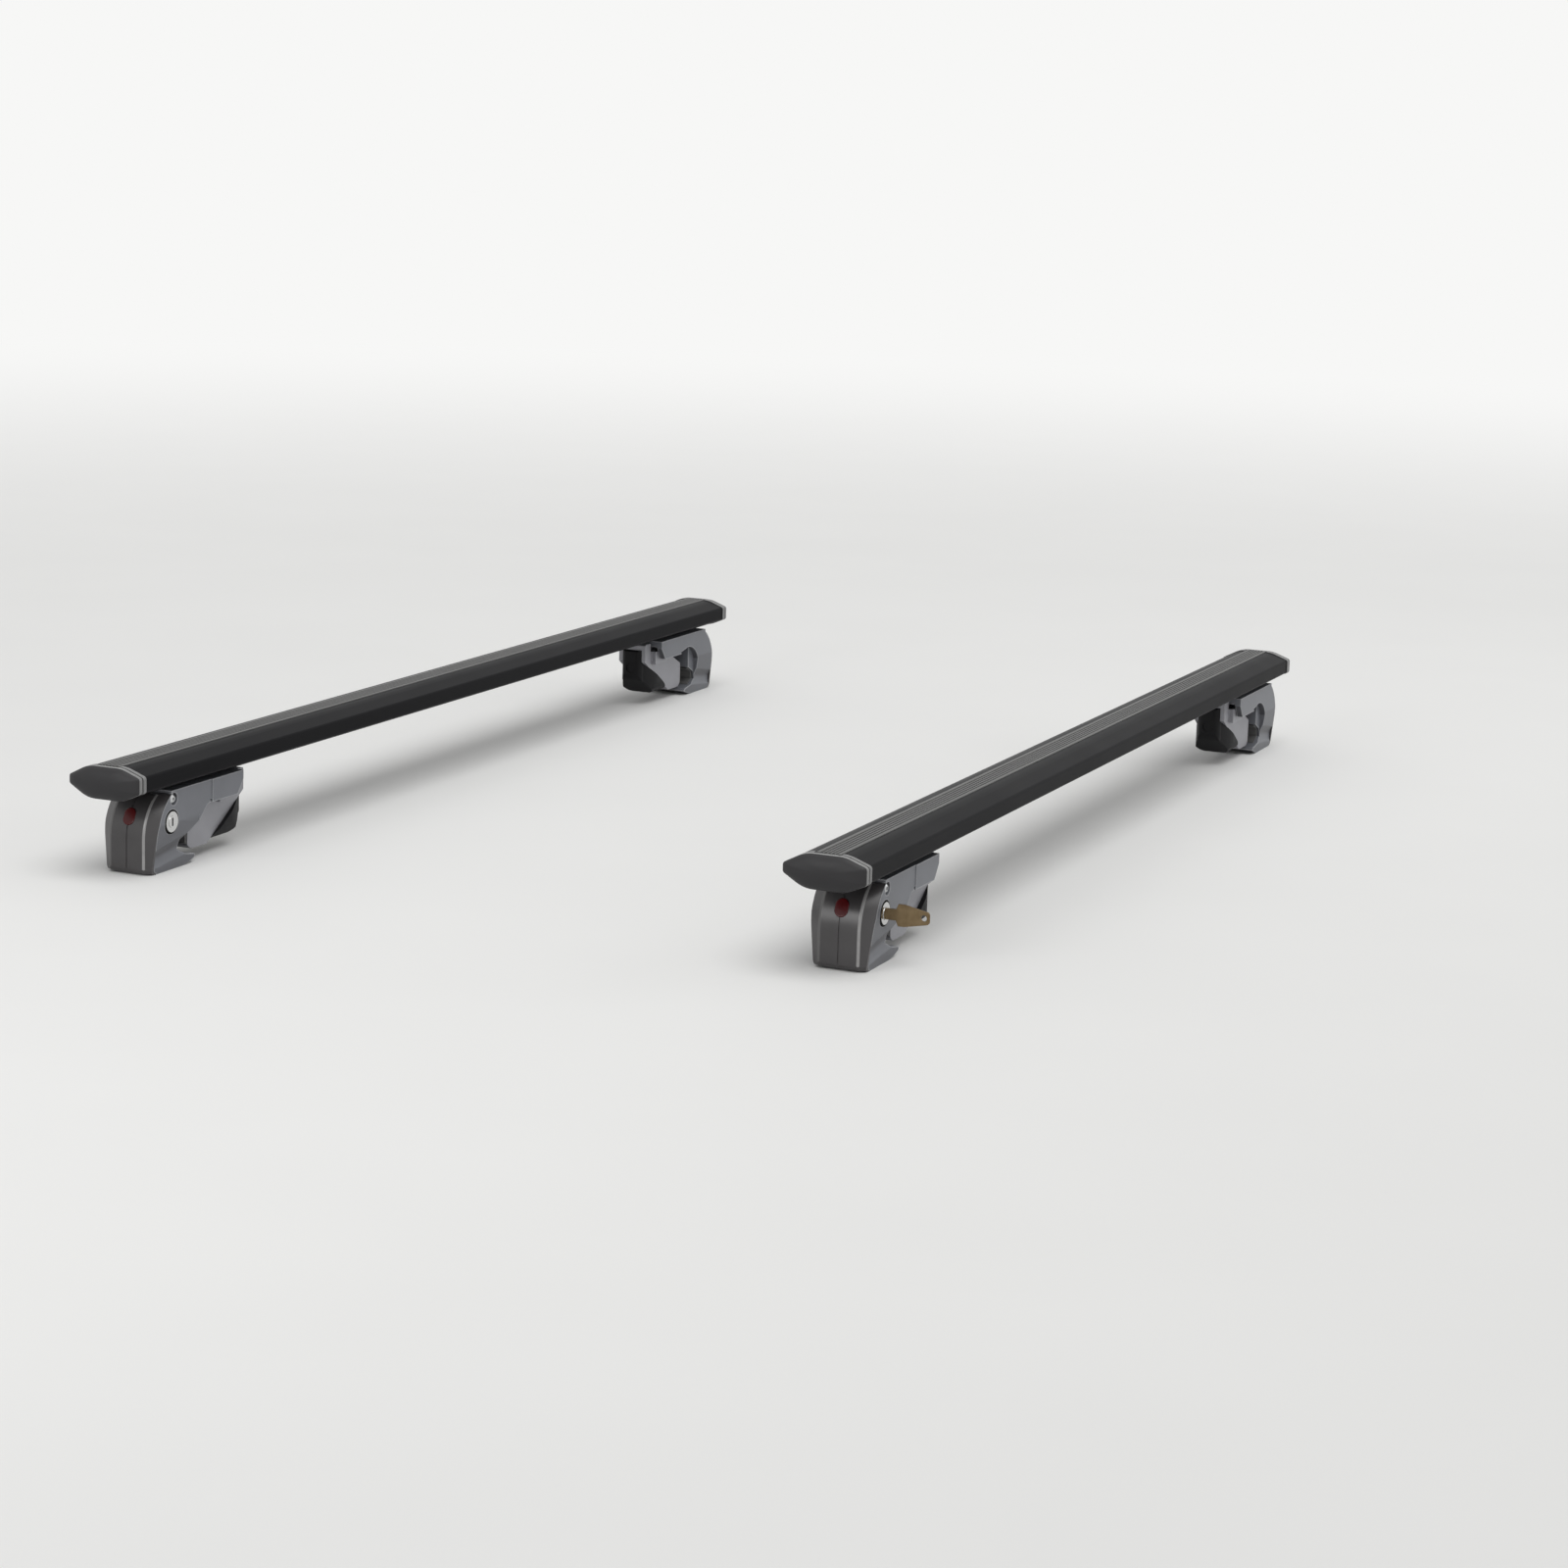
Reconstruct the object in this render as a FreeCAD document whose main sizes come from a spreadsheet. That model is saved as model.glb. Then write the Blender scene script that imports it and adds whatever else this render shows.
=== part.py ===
import FreeCAD, Part
import math
import os
import re
import Sketcher

# Pair of roof cross bars: two wing-shaped bars, each on two clamping feet.
# Bars lie along X, +Y is the direction of travel, Z is up from the plane the feet stand on.
# Foot pieces are drawn once in a foot frame: X runs inboard from the foot's outermost point,
# the lock faces -Y, and Z is up from the floor. Each foot is a set of links to those pieces.

SIZES = [
    ("bar_length", 1250, "cut length of each bar"),
    ("bar_spacing", 700, "distance between the two bars"),
    ("bar_chord", 74, "bar width, front to back"),
    ("bar_depth", 29, "bar thickness"),
    ("bar_top_flat", 35, "flat on top"),
    ("bar_bottom_flat", 36, "flat underneath"),
    ("bar_edge_up", 7.5, "rear edge above mid height"),
    ("bar_edge_down", 6.5, "rear edge below mid height"),
    ("bar_nose_up", 4.5, "front edge above mid height"),
    ("bar_nose_down", 3, "front edge below mid height"),
    ("bar_wall", 2.2, "outer wall"),
    ("bar_web", 2, "inner webs"),
    ("bar_shoulder_round", 30, "rounding where flats meet the slopes"),
    ("bar_edge_round", 3.2, "rounding of the front and rear edges"),
    ("strip_width", 22, "visible width of the top strip"),
    ("strip_seat", 1.8, "depth of the recess for the strip"),
    ("strip_crown", 0.8, "height of the strip above the bar"),
    ("strip_inset", 2.5, "strip stops this far from each bar end"),
    ("strip_barb", 2.5, "strip flange beyond the slot, each side"),
    ("strip_foot", 3, "thickness of that flange"),
    ("rib_pitch", 3.4, "spacing of the strip grooves"),
    ("rib_gap", 1.5, "width of a strip groove"),
    ("rib_depth", 1, "depth of a strip groove"),
    ("slot_opening", 9, "top slot opening"),
    ("slot_inner", 19, "top slot inner width"),
    ("slot_lip", 2.2, "top slot lip thickness"),
    ("slot_depth", 6, "top slot inner depth"),
    ("chan_opening", 10.5, "bottom channel opening"),
    ("chan_inner", 22, "bottom channel inner width"),
    ("chan_lip", 2.5, "bottom channel lip thickness"),
    ("chan_depth", 7.5, "bottom channel inner depth"),
    ("rubber_fit", 0.3, "clearance of rubber strips in their slots"),
    ("infill_length", 640, "length of the bottom infill"),
    ("infill_set", 0.4, "infill set back from the underside"),
    ("cap_rim", 4.5, "end cap rim thickness"),
    ("cap_proud", 0.6, "rim stands proud of the bar"),
    ("cap_dome", 6, "end cap dome depth"),
    ("cap_round", 5, "dome edge rounding"),
    ("plug_length", 14, "end cap plug length"),
    ("plug_fit", 0.3, "clearance of the plugs in the bar"),
    ("left_inset", 30, "left feet's outermost point from the bar end"),
    ("right_inset", 6, "right feet's outermost point from the bar end"),
    ("foot_height", 75.5, "underside of the bar above the floor"),
    ("foot_width", 58, "width over the cheeks"),
    ("bar_gap", 0.3, "running gap between foot and bar"),
    ("nose_top_in", 22, "top of the outer face, set back from its bulge"),
    ("nose_top_drop", 3.5, "the top of the outer face, below the bar"),
    ("bulge_up", 32, "height where the outer face is upright"),
    ("nose_corner", 5, "rounding under the outer face"),
    ("cover_lift", 1, "cover clear of the floor"),
    ("seam_in", 7.5, "seam between cover and cheek behind the outer face"),
    ("cover_gap", 0.4, "gap round the outer cover"),
    ("facet_half", 18, "half width of the cover between its ridges"),
    ("cover_wall", 3, "wall of the cover where cored out"),
    ("ridge_round", 1.2, "rounding of the cover ridges"),
    ("draft_up", 46, "height where the sides start to lean in"),
    ("draft_in", 5.5, "lean of each side at the floor"),
    ("crease_up", 25, "height of the side crease at the nose"),
    ("crease_lean", 8, "rise of the crease, degrees"),
    ("flank_in", 6, "depth of the scooped flank"),
    ("flank_foot", 2, "lower end of the scooped flank"),
    ("lip_heel", 54, "end of the flat underside"),
    ("lip_tip", 76, "tip of the lower hook lip"),
    ("lip_nose", 5.5, "underside of that tip"),
    ("lip_edge", 3, "thickness of that tip"),
    ("lip_curl", 60, "radius of the lip's underside"),
    ("lip_root", 58, "start of the lip slope"),
    ("lip_top", 11.5, "height of the lip slope"),
    ("throat_in", 47, "bottom of the throat"),
    ("throat_low", 17, "height of the throat bottom"),
    ("seat_in", 49, "start of the sloped seat"),
    ("seat_low", 26, "height at the start of the sloped seat"),
    ("seat_out", 75, "end of the sloped seat"),
    ("seat_high", 38.5, "height at the end of the sloped seat"),
    ("haunch_in", 89, "end of the haunch"),
    ("haunch_drop", 23, "the haunch, below the bar"),
    ("block_in", 97, "start of the arm block"),
    ("block_drop", 22, "underside of the arm block, below the bar"),
    ("block_proud", 0.8, "arm block stands proud on the lock side"),
    ("notch_wide", 3, "notch before the arm block"),
    ("notch_deep", 3, "depth of that notch"),
    ("arm_end", 150, "inner end of the arm"),
    ("arm_bevel", 10, "run of the bevel under the arm end"),
    ("arm_bevel_up", 13, "rise of that bevel"),
    ("cheek_wall", 6.5, "cheek thickness"),
    ("top_wall", 7, "top plate thickness"),
    ("web_in", 63, "inner face of the solid seat block"),
    ("web_low", 18, "underside of the jaw channel"),
    ("arch_low", 41.5, "arch springing on the plain side"),
    ("arch_in", 79, "arch crown position"),
    ("arch_drop", 16, "arch crown, below the bar"),
    ("lock_in", 30, "lock centre from the nose"),
    ("lock_drop", 29, "lock centre, below the bar"),
    ("lock_recess", 11.4, "radius of the recess round the lock"),
    ("lock_sink", 2.5, "depth of that recess"),
    ("barrel_flange", 9.6, "lock flange radius"),
    ("barrel_radius", 7.5, "lock barrel radius"),
    ("barrel_proud", 0.4, "lock face beyond the cheek"),
    ("barrel_inner", 10.2, "inner end of the barrel from the mid plane"),
    ("barrel_fit", 0.05, "barrel clearance in the housing"),
    ("plug_radius", 5.6, "lock plug radius"),
    ("plug_run", 0.06, "plug running clearance"),
    ("plug_proud", 0.4, "plug face beyond the flange"),
    ("cam_reach", 13, "cam length from the lock centre"),
    ("cam_half", 3, "half width of the cam"),
    ("cam_thick", 2.2, "cam thickness"),
    ("cam_gap", 0.5, "clearance on each side of the cam"),
    ("keyway_wide", 2.2, "keyway width"),
    ("keyway_tall", 7.6, "keyway height"),
    ("keyway_deep", 14, "keyway depth"),
    ("tongue_low_drop", 22, "underside of the cover tongue, below the bar"),
    ("tongue_high_drop", 11, "top of the cover tongue, below the bar"),
    ("tongue_end", 39.5, "inner end of the cover tongue"),
    ("tongue_hook", 4.5, "length of the hook at its end"),
    ("tongue_bridge", 4, "height left above the notch"),
    ("marker_drop", 22.5, "marker centre, below the bar"),
    ("marker_tall", 18.5, "marker height"),
    ("marker_wide", 12, "marker width"),
    ("marker_sink", 1.8, "depth of the marker recess"),
    ("marker_thick", 2.3, "marker thickness"),
    ("marker_fit", 0.15, "clearance round the marker"),
    ("marker_round", 0.7, "rounding of the marker edge"),
    ("line_wide", 1.2, "width of the centre line groove"),
    ("line_deep", 0.7, "depth of the centre line groove"),
    ("bolt_drop", 20.5, "clamp bolt, below the bar"),
    ("bolt_radius", 4, "clamp bolt radius"),
    ("bolt_seat", 32, "seat of the bolt head from the nose"),
    ("bolt_head", 6.5, "bolt head radius"),
    ("bolt_head_long", 8, "bolt head length"),
    ("bolt_length", 130, "clamp bolt shank length"),
    ("bolt_clear", 0.3, "bolt clearance in the housing"),
    ("bolt_run", 0.05, "thread running clearance in the jaw"),
    ("bolt_access", 8, "radius of the hole for the tool"),
    ("socket_flats", 6, "hex socket across flats"),
    ("socket_deep", 4.5, "hex socket depth"),
    ("screw_radius", 2.5, "screw shank radius"),
    ("screw_head", 5.2, "screw head radius"),
    ("screw_head_tall", 2.75, "screw head height"),
    ("screw_length", 13.5, "screw shank length"),
    ("screw_fit", 0.1, "screw clearance in its holes"),
    ("screw_socket", 3, "screw socket across flats"),
    ("screw_sink", 3.4, "recess of the side screw"),
    ("screw_recess", 5.8, "radius of that recess"),
    ("side_screw_in", 33.5, "side screw from the nose"),
    ("side_screw_drop", 8.5, "side screw, below the bar"),
    ("bar_screw_one", 80, "first bar screw from the nose"),
    ("bar_screw_two", 122, "second bar screw from the nose"),
    ("nut_end", 12, "channel nut beyond each bar screw"),
    ("nut_side", 0.8, "channel nut side clearance"),
    ("nut_lift", 0.3, "channel nut clearance above the lips"),
    ("nut_thick", 6, "channel nut thickness"),
    ("jaw_face", 74, "jaw face from the nose"),
    ("jaw_half", 17, "half width of the jaw"),
    ("jaw_toe", 11, "underside of the jaw toe"),
    ("jaw_toe_in", 80, "start of the toe underside"),
    ("jaw_toe_out", 106, "end of the toe underside"),
    ("jaw_face_top", 39, "top of the jaw face"),
    ("jaw_knee", 124, "jaw arm meets the slider"),
    ("slide_low_drop", 27.5, "underside of the slider, below the bar"),
    ("slide_top_drop", 12.5, "top of the slider, below the bar"),
    ("jaw_slide_out", 152, "inner end of the slider"),
    ("jaw_guide", 0.5, "slider clearance in the housing"),
    ("jaw_leg", 156, "outer face of the upright leg"),
    ("jaw_back", 170, "inner face of the upright leg"),
    ("leg_top_drop", 2.5, "top of the upright leg, below the bar"),
    ("jaw_belly_in", 138, "bend in the back of the jaw"),
    ("jaw_belly_up", 31, "height of that bend"),
    ("heel_drop", 23.5, "foot of the upright leg's back, below the bar"),
    ("jaw_round", 2, "rounding of the jaw edges"),
    ("shroud_half", 21, "half width of the jaw cover"),
    ("shroud_end", 174, "inner end of the jaw cover"),
    ("shroud_low", 12, "underside of the jaw cover"),
    ("shroud_top_drop", 9.5, "top of the jaw cover, below the bar"),
    ("shroud_sweep", 146, "start of the upward sweep"),
    ("shroud_sweep_up", 34, "end of the upward sweep"),
    ("belly_round", 16, "rounding of that sweep"),
    ("brow_round", 3.5, "rounding of its upper inner edge"),
    ("bulb_round", 7, "rounding down its inner end"),
    ("keel_round", 14, "rounding along its lower sides"),
    ("shroud_taper", 122, "start of its taper in plan"),
    ("shroud_tip", 13, "half width where that rounding starts"),
    ("shroud_round", 70, "radius of that taper"),
    ("dimple_radius", 6, "radius of the round dimple in its inner face"),
    ("dimple_up", 45, "height of that dimple"),
    ("dimple_deep", 1.2, "depth of that dimple"),
    ("pad_thick", 3, "rubber pad thickness"),
    ("pad_half", 20, "half width of the hook pad"),
    ("pad_end", 61, "upper end of the hook pad"),
    ("jaw_pad_half", 16, "half width of the jaw pad"),
    ("jaw_pad_low", 16, "bottom of the jaw pad"),
    ("jaw_pad_high", 37, "top of the jaw pad"),
    ("pad_bevel", 1.5, "bevel of the jaw pad"),
    ("key_shank", 9, "key shank outside the lock"),
    ("key_bow", 30, "length of the key bow"),
    ("key_bow_wide", 19, "bow width near the lock"),
    ("key_bow_tip", 10, "bow width at the end"),
    ("key_blade", 12, "blade length inside the lock"),
    ("key_thick", 2, "key thickness"),
    ("key_blade_tall", 7, "blade height"),
    ("key_hole", 2.6, "radius of the hole in the bow"),
    ("key_round", 3, "rounding of the bow corners"),
]

# Heights that keep their distance below the bar when the foot is made taller or lower.
HUNG = [
    ("nose_top_up", "nose_top_drop"),
    ("haunch_up", "haunch_drop"),
    ("block_low", "block_drop"),
    ("arch_up", "arch_drop"),
    ("lock_up", "lock_drop"),
    ("tongue_low", "tongue_low_drop"),
    ("tongue_high", "tongue_high_drop"),
    ("bolt_up", "bolt_drop"),
    ("side_screw_up", "side_screw_drop"),
    ("marker_up", "marker_drop"),
    ("jaw_slide_low", "slide_low_drop"),
    ("jaw_slide_top", "slide_top_drop"),
    ("jaw_leg_top", "leg_top_drop"),
    ("jaw_heel", "heel_drop"),
    ("shroud_top", "shroud_top_drop"),
]

doc = FreeCAD.newDocument("cross_bars")
dims = doc.addObject("Spreadsheet::Sheet", "dims")
for row, (alias, value, note) in enumerate(SIZES, 1):
    dims.set(f"A{row}", alias)
    dims.set(f"B{row}", str(value))
    dims.set(f"C{row}", note)
    dims.setAlias(f"B{row}", alias)
for row, (alias, drop) in enumerate(HUNG, len(SIZES) + 1):
    dims.set(f"A{row}", alias)
    dims.set(f"B{row}", f"=foot_height - {drop}")
    dims.setAlias(f"B{row}", alias)
doc.recompute()

FUNCTIONS = {"sqrt", "sin", "cos", "tan", "asin", "acos", "deg"}


def bound(formula):
    """Turn size names in a formula into references to their cells."""
    def cell(match):
        word = match.group(0)
        return word if word in FUNCTIONS else "dims." + word
    return re.sub(r"[a-z][a-z_]*", cell, formula)


def number(owner, formula):
    result = owner.evalExpression(bound(formula))
    return float(getattr(result, "Value", result))


def checked(item):
    """Recompute and stop at a feature that did not build."""
    doc.recompute()
    if "Invalid" in item.State or "Error" in item.State or item.Shape.isNull():
        raise RuntimeError(f"{item.Label} did not build: {item.getStatusString()}")
    return item


def new_body(name):
    return doc.addObject("PartDesign::Body", name)


def new_sketch(body, name, plane, shift=None):
    sketch = body.newObject("Sketcher::SketchObject", name)
    support = [item for item in body.Origin.OriginFeatures if item.Role == plane][0]
    sketch.AttachmentSupport = (support, [""])
    sketch.MapMode = "FlatFace"
    if shift:
        sketch.setExpression("AttachmentOffset.Base.z", bound(shift))
    return sketch


def fix(sketch, kind, geometry, position, formula):
    value = number(sketch, formula)
    index = sketch.addConstraint(Sketcher.Constraint(kind, -1, 1, geometry, position, value))
    sketch.setExpression(f"Constraints[{index}]", bound(formula))


def fix_radius(sketch, geometry, formula):
    index = sketch.addConstraint(Sketcher.Constraint("Radius", geometry, number(sketch, formula)))
    sketch.setExpression(f"Constraints[{index}]", bound(formula))


def add_loop(sketch, corners):
    """Closed outline; a corner (x, y, radius, side) starts an arc, side +1 turns left."""
    spots = []
    for corner in corners:
        spots.append(FreeCAD.Vector(number(sketch, corner[0]), number(sketch, corner[1]), 0))
    edges = []
    for index, corner in enumerate(corners):
        start = spots[index]
        end = spots[(index + 1) % len(spots)]
        if len(corner) == 2:
            edges.append((sketch.addGeometry(Part.LineSegment(start, end), False), 1, 2))
            continue
        radius = number(sketch, corner[2])
        chord = end - start
        rise = math.sqrt(max(radius ** 2 - (chord.Length / 2) ** 2, 0))
        across = FreeCAD.Vector(-chord.y, chord.x, 0).normalize()
        centre = (start + end) * 0.5 + across * rise * corner[3]
        first, last = (start, end) if corner[3] > 0 else (end, start)
        angles = [math.atan2(spot.y - centre.y, spot.x - centre.x) for spot in (first, last)]
        circle = Part.Circle(centre, FreeCAD.Vector(0, 0, 1), radius)
        arc = sketch.addGeometry(Part.ArcOfCircle(circle, angles[0], angles[1]), False)
        edges.append((arc, 1, 2) if corner[3] > 0 else (arc, 2, 1))
    for index, edge in enumerate(edges):
        after = edges[(index + 1) % len(edges)]
        sketch.addConstraint(Sketcher.Constraint("Coincident", edge[0], edge[2], after[0], after[1]))
    for edge, corner in zip(edges, corners):
        fix(sketch, "DistanceX", edge[0], edge[1], corner[0])
        fix(sketch, "DistanceY", edge[0], edge[1], corner[1])
        if len(corner) == 4:
            fix_radius(sketch, edge[0], corner[2])


def add_circle(sketch, across, up, radius):
    centre = FreeCAD.Vector(number(sketch, across), number(sketch, up), 0)
    circle = Part.Circle(centre, FreeCAD.Vector(0, 0, 1), number(sketch, radius))
    ring = sketch.addGeometry(circle, False)
    fix(sketch, "DistanceX", ring, 3, across)
    fix(sketch, "DistanceY", ring, 3, up)
    fix_radius(sketch, ring, radius)


def feature(body, kind, name, sketch, length, midplane=False, back=False):
    """Pad or pocket of a sketch; the volume must change the way the kind says."""
    before = body.Shape.Volume if body.Tip and body.Tip != sketch else 0
    item = body.newObject("PartDesign::" + kind, name)
    item.Profile = sketch
    item.setExpression("Length", bound(length))
    item.Midplane = midplane
    item.Reversed = back
    sketch.Visibility = False
    checked(item)
    change = body.Shape.Volume - before
    if (kind == "Pad") != (change > 0):
        raise RuntimeError(f"{name} changed the volume by {change:.1f}")
    return item


def outline(body, kind, name, plane, corners, length, midplane=False, back=False, shift=None):
    sketch = new_sketch(body, name + "_sketch", plane, shift)
    loops = corners if isinstance(corners[0], list) else [corners]
    for loop in loops:
        add_loop(sketch, loop)
    return feature(body, kind, name, sketch, length, midplane, back)


def drill(body, kind, name, plane, across, up, radius, length, shift=None, midplane=False, back=False):
    sketch = new_sketch(body, name + "_sketch", plane, shift)
    add_circle(sketch, across, up, radius)
    return feature(body, kind, name, sketch, length, midplane, back)


def turn(body, name, corners, plane="XY_Plane", axis="H_Axis"):
    sketch = new_sketch(body, name + "_sketch", plane)
    add_loop(sketch, corners)
    item = body.newObject("PartDesign::Revolution", name)
    item.Profile = sketch
    item.ReferenceAxis = (sketch, [axis])
    item.Angle = 360
    sketch.Visibility = False
    return checked(item)


def soften(body, name, radius, wanted):
    """Fillet every edge of the body that the test picks."""
    base = body.Tip
    names = []
    for index, edge in enumerate(base.Shape.Edges, 1):
        if wanted(edge):
            names.append(f"Edge{index}")
    item = body.newObject("PartDesign::Fillet", name)
    item.Base = (base, names)
    item.setExpression("Radius", bound(radius))
    return checked(item)


def runs_along(edge, axis):
    if edge.Degenerated:
        return False
    direction = edge.Vertexes[-1].Point - edge.Vertexes[0].Point
    if edge.Curve.TypeId != "Part::GeomLine" or direction.Length < 1e-6:
        return False
    return abs(direction.normalize().dot(axis)) > 0.9999


def hexagon(flats):
    """Corners of a hexagon with the given formula across flats."""
    tip = f"{flats} / sqrt(3)"
    side = f"{flats} / 2"
    half = f"{flats} / sqrt(12)"
    return [(tip, "0"), (half, side), ("-" + half, side),
            ("-" + tip, "0"), ("-" + half, "-" + side), (half, "-" + side)]


def mirrored(half):
    """Close a half outline, listed from top to bottom, about the vertical axis."""
    return half + [("-(" + across + ")", up) for across, up in reversed(half)]


X = FreeCAD.Vector(1, 0, 0)
Y = FreeCAD.Vector(0, 1, 0)
Z = FreeCAD.Vector(0, 0, 1)

# Bar: one extrusion with a strip recess and slot on top, a nut channel below and hollow sides.
def bar_outline(grow):
    """Wing section with a thin front edge and a blunt rear edge, grown all round."""
    return [
        (f"bar_top_flat / 2 + {grow} / 2", f"bar_depth / 2 + {grow}"),
        (f"-bar_top_flat / 2 - {grow} / 2", f"bar_depth / 2 + {grow}"),
        (f"-bar_chord / 2 - {grow}", f"bar_edge_up + {grow} / 2"),
        (f"-bar_chord / 2 - {grow}", f"-bar_edge_down - {grow} / 2"),
        (f"-bar_bottom_flat / 2 - {grow} / 2", f"-bar_depth / 2 - {grow}"),
        (f"bar_bottom_flat / 2 + {grow} / 2", f"-bar_depth / 2 - {grow}"),
        (f"bar_chord / 2 + {grow}", f"-bar_nose_down - {grow} / 2"),
        (f"bar_chord / 2 + {grow}", f"bar_nose_up + {grow} / 2"),
    ]


seat_z = "bar_depth / 2 - strip_seat"
lip_z = seat_z + " - slot_lip"
floor_z = lip_z + " - slot_depth"
chan_lip_z = "-bar_depth / 2 + chan_lip"
chan_roof_z = chan_lip_z + " + chan_depth"
top_slot = mirrored([
    ("strip_width / 2 + rubber_fit", "bar_depth / 2 + 1"),
    ("strip_width / 2 + rubber_fit", seat_z),
    ("slot_opening / 2", seat_z),
    ("slot_opening / 2", lip_z),
    ("slot_inner / 2", lip_z),
    ("slot_inner / 2", floor_z),
])
bottom_slot = mirrored([
    ("chan_inner / 2", chan_roof_z),
    ("chan_inner / 2", chan_lip_z),
    ("chan_opening / 2", chan_lip_z),
    ("chan_opening / 2", "-bar_depth / 2 - 1"),
])
core_hole = mirrored([
    ("slot_inner / 2", floor_z + " - bar_web"),
    ("slot_inner / 2", chan_roof_z + " + bar_web"),
])


def chamber(side, inset):
    """Hollow beside the slots, or the same outline drawn in by an inset."""
    edge_up, edge_down, back = ("bar_nose_up", "bar_nose_down", "2 * bar_wall")
    if side < 0:
        edge_up, edge_down, back = ("bar_edge_up", "bar_edge_down", "bar_wall")
    inner = f"chan_inner / 2 + bar_web + {inset}"
    outer = f"bar_chord / 2 - {back} - {inset}"
    half = [
        (inner, f"bar_depth / 2 - bar_wall - {inset}"),
        (f"bar_top_flat / 2 - {inset} / 2", f"bar_depth / 2 - bar_wall - {inset}"),
        (outer, f"{edge_up} - bar_wall / 2 - {inset} / 2"),
        (outer, f"-{edge_down} + bar_wall / 2 + {inset} / 2"),
        (f"bar_bottom_flat / 2 - {inset} / 2", f"-bar_depth / 2 + bar_wall + {inset}"),
        (inner, f"-bar_depth / 2 + bar_wall + {inset}"),
    ]
    return half if side > 0 else [("-(" + across + ")", up) for across, up in half]


def section_rounds(body, name):
    """Round the eight long corners of a bar-shaped blank."""
    def shoulder(edge):
        return runs_along(edge, X) and abs(edge.CenterOfMass.z) > number(dims, "bar_depth / 2 - 0.1")
    soften(body, name + "_shoulders", "bar_shoulder_round", shoulder)

    def side(edge):
        return runs_along(edge, X) and abs(edge.CenterOfMass.y) > number(dims, "bar_chord / 2 - 0.1")
    soften(body, name + "_edges", "bar_edge_round", side)


bar = new_body("bar")
outline(bar, "Pad", "bar_blank", "YZ_Plane", bar_outline("0"), "bar_length", midplane=True)
section_rounds(bar, "bar")
bar_holes = [top_slot, bottom_slot, core_hole, chamber(1, "0"), chamber(-1, "0")]
outline(bar, "Pocket", "bar_hollows", "YZ_Plane", bar_holes, "bar_length + 10", midplane=True)

# Top strip: ribbed rubber with a flange that hooks under the slot lips.
strip = new_body("strip")
strip_half = [
    ("strip_width / 2", "bar_depth / 2 + strip_crown"),
    ("strip_width / 2", seat_z),
    ("slot_opening / 2 - rubber_fit", seat_z),
    ("slot_opening / 2 - rubber_fit", lip_z + " - rubber_fit"),
    ("slot_opening / 2 + strip_barb", lip_z + " - rubber_fit"),
    ("slot_opening / 2 - rubber_fit", lip_z + " - rubber_fit - strip_foot"),
]
outline(strip, "Pad", "strip_blank", "YZ_Plane", mirrored(strip_half),
        "bar_length - 2 * strip_inset", midplane=True)
grooves = []
for place in (-2, -1, 0, 1, 2):
    left = f"{place} * rib_pitch - rib_gap / 2"
    right = f"{place} * rib_pitch + rib_gap / 2"
    top = "bar_depth / 2 + strip_crown + 1"
    base = "bar_depth / 2 + strip_crown - rib_depth"
    grooves.append([(left, base), (right, base), (right, top), (left, top)])
outline(strip, "Pocket", "strip_grooves", "YZ_Plane", grooves, "bar_length", midplane=True)

# Infill: plain rubber that closes the bottom channel between the feet.
infill = new_body("infill")
infill_half = [
    ("chan_opening / 2 + strip_barb", chan_lip_z + " + strip_foot"),
    ("chan_opening / 2 + strip_barb", chan_lip_z),
    ("chan_opening / 2 - rubber_fit", chan_lip_z),
    ("chan_opening / 2 - rubber_fit", "-bar_depth / 2 + infill_set"),
]
outline(infill, "Pad", "infill_blank", "YZ_Plane", mirrored(infill_half), "infill_length", midplane=True)

# End caps: proud rim, domed face and two plugs; drawn with +X pointing out of the bar.
# The left cap is drawn handed, because it is turned round to face its end of the bar.
def rim_shoulder(edge):
    return runs_along(edge, X) and abs(edge.CenterOfMass.z) > number(dims, "bar_depth / 2 + cap_proud / 2")


def rim_side(edge):
    return runs_along(edge, X) and abs(edge.CenterOfMass.y) > number(dims, "bar_chord / 2 + cap_proud / 2")


def handed(loop, flip):
    return [("-(" + across + ")", up) for across, up in loop] if flip else loop


def make_cap(name, flip):
    body = new_body(name)
    dome = handed(bar_outline("0"), flip)
    rim = handed(bar_outline("cap_proud"), flip)
    plugs = [handed(chamber(side, "plug_fit"), flip) for side in (1, -1)]
    outline(body, "Pad", name + "_dome", "YZ_Plane", dome, "cap_rim + cap_dome")
    section_rounds(body, name)
    soften(body, name + "_dome_round", "cap_round",
           lambda edge: edge.BoundBox.XMin > number(dims, "cap_rim + cap_dome - 0.01"))
    outline(body, "Pad", name + "_rim", "YZ_Plane", rim, "cap_rim")
    soften(body, name + "_rim_shoulders", "bar_shoulder_round", rim_shoulder)
    soften(body, name + "_rim_sides", "bar_edge_round", rim_side)
    outline(body, "Pad", name + "_plugs", "YZ_Plane", plugs, "plug_length", back=True)
    return body


right_cap = make_cap("cap", False)
left_cap = make_cap("handed_cap", True)

# Housing: outer hook, solid seat block, two cheeks and a top plate.
face_rise = "(nose_top_up - bulge_up)"
face_radius = f"({face_rise} ^ 2 + nose_top_in ^ 2) / (2 * nose_top_in)"
house_top = "foot_height - bar_gap"
chan_top = "foot_height - bar_gap - top_wall"
half_wide = "foot_width / 2"
chan_half = "foot_width / 2 - cheek_wall"


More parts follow.
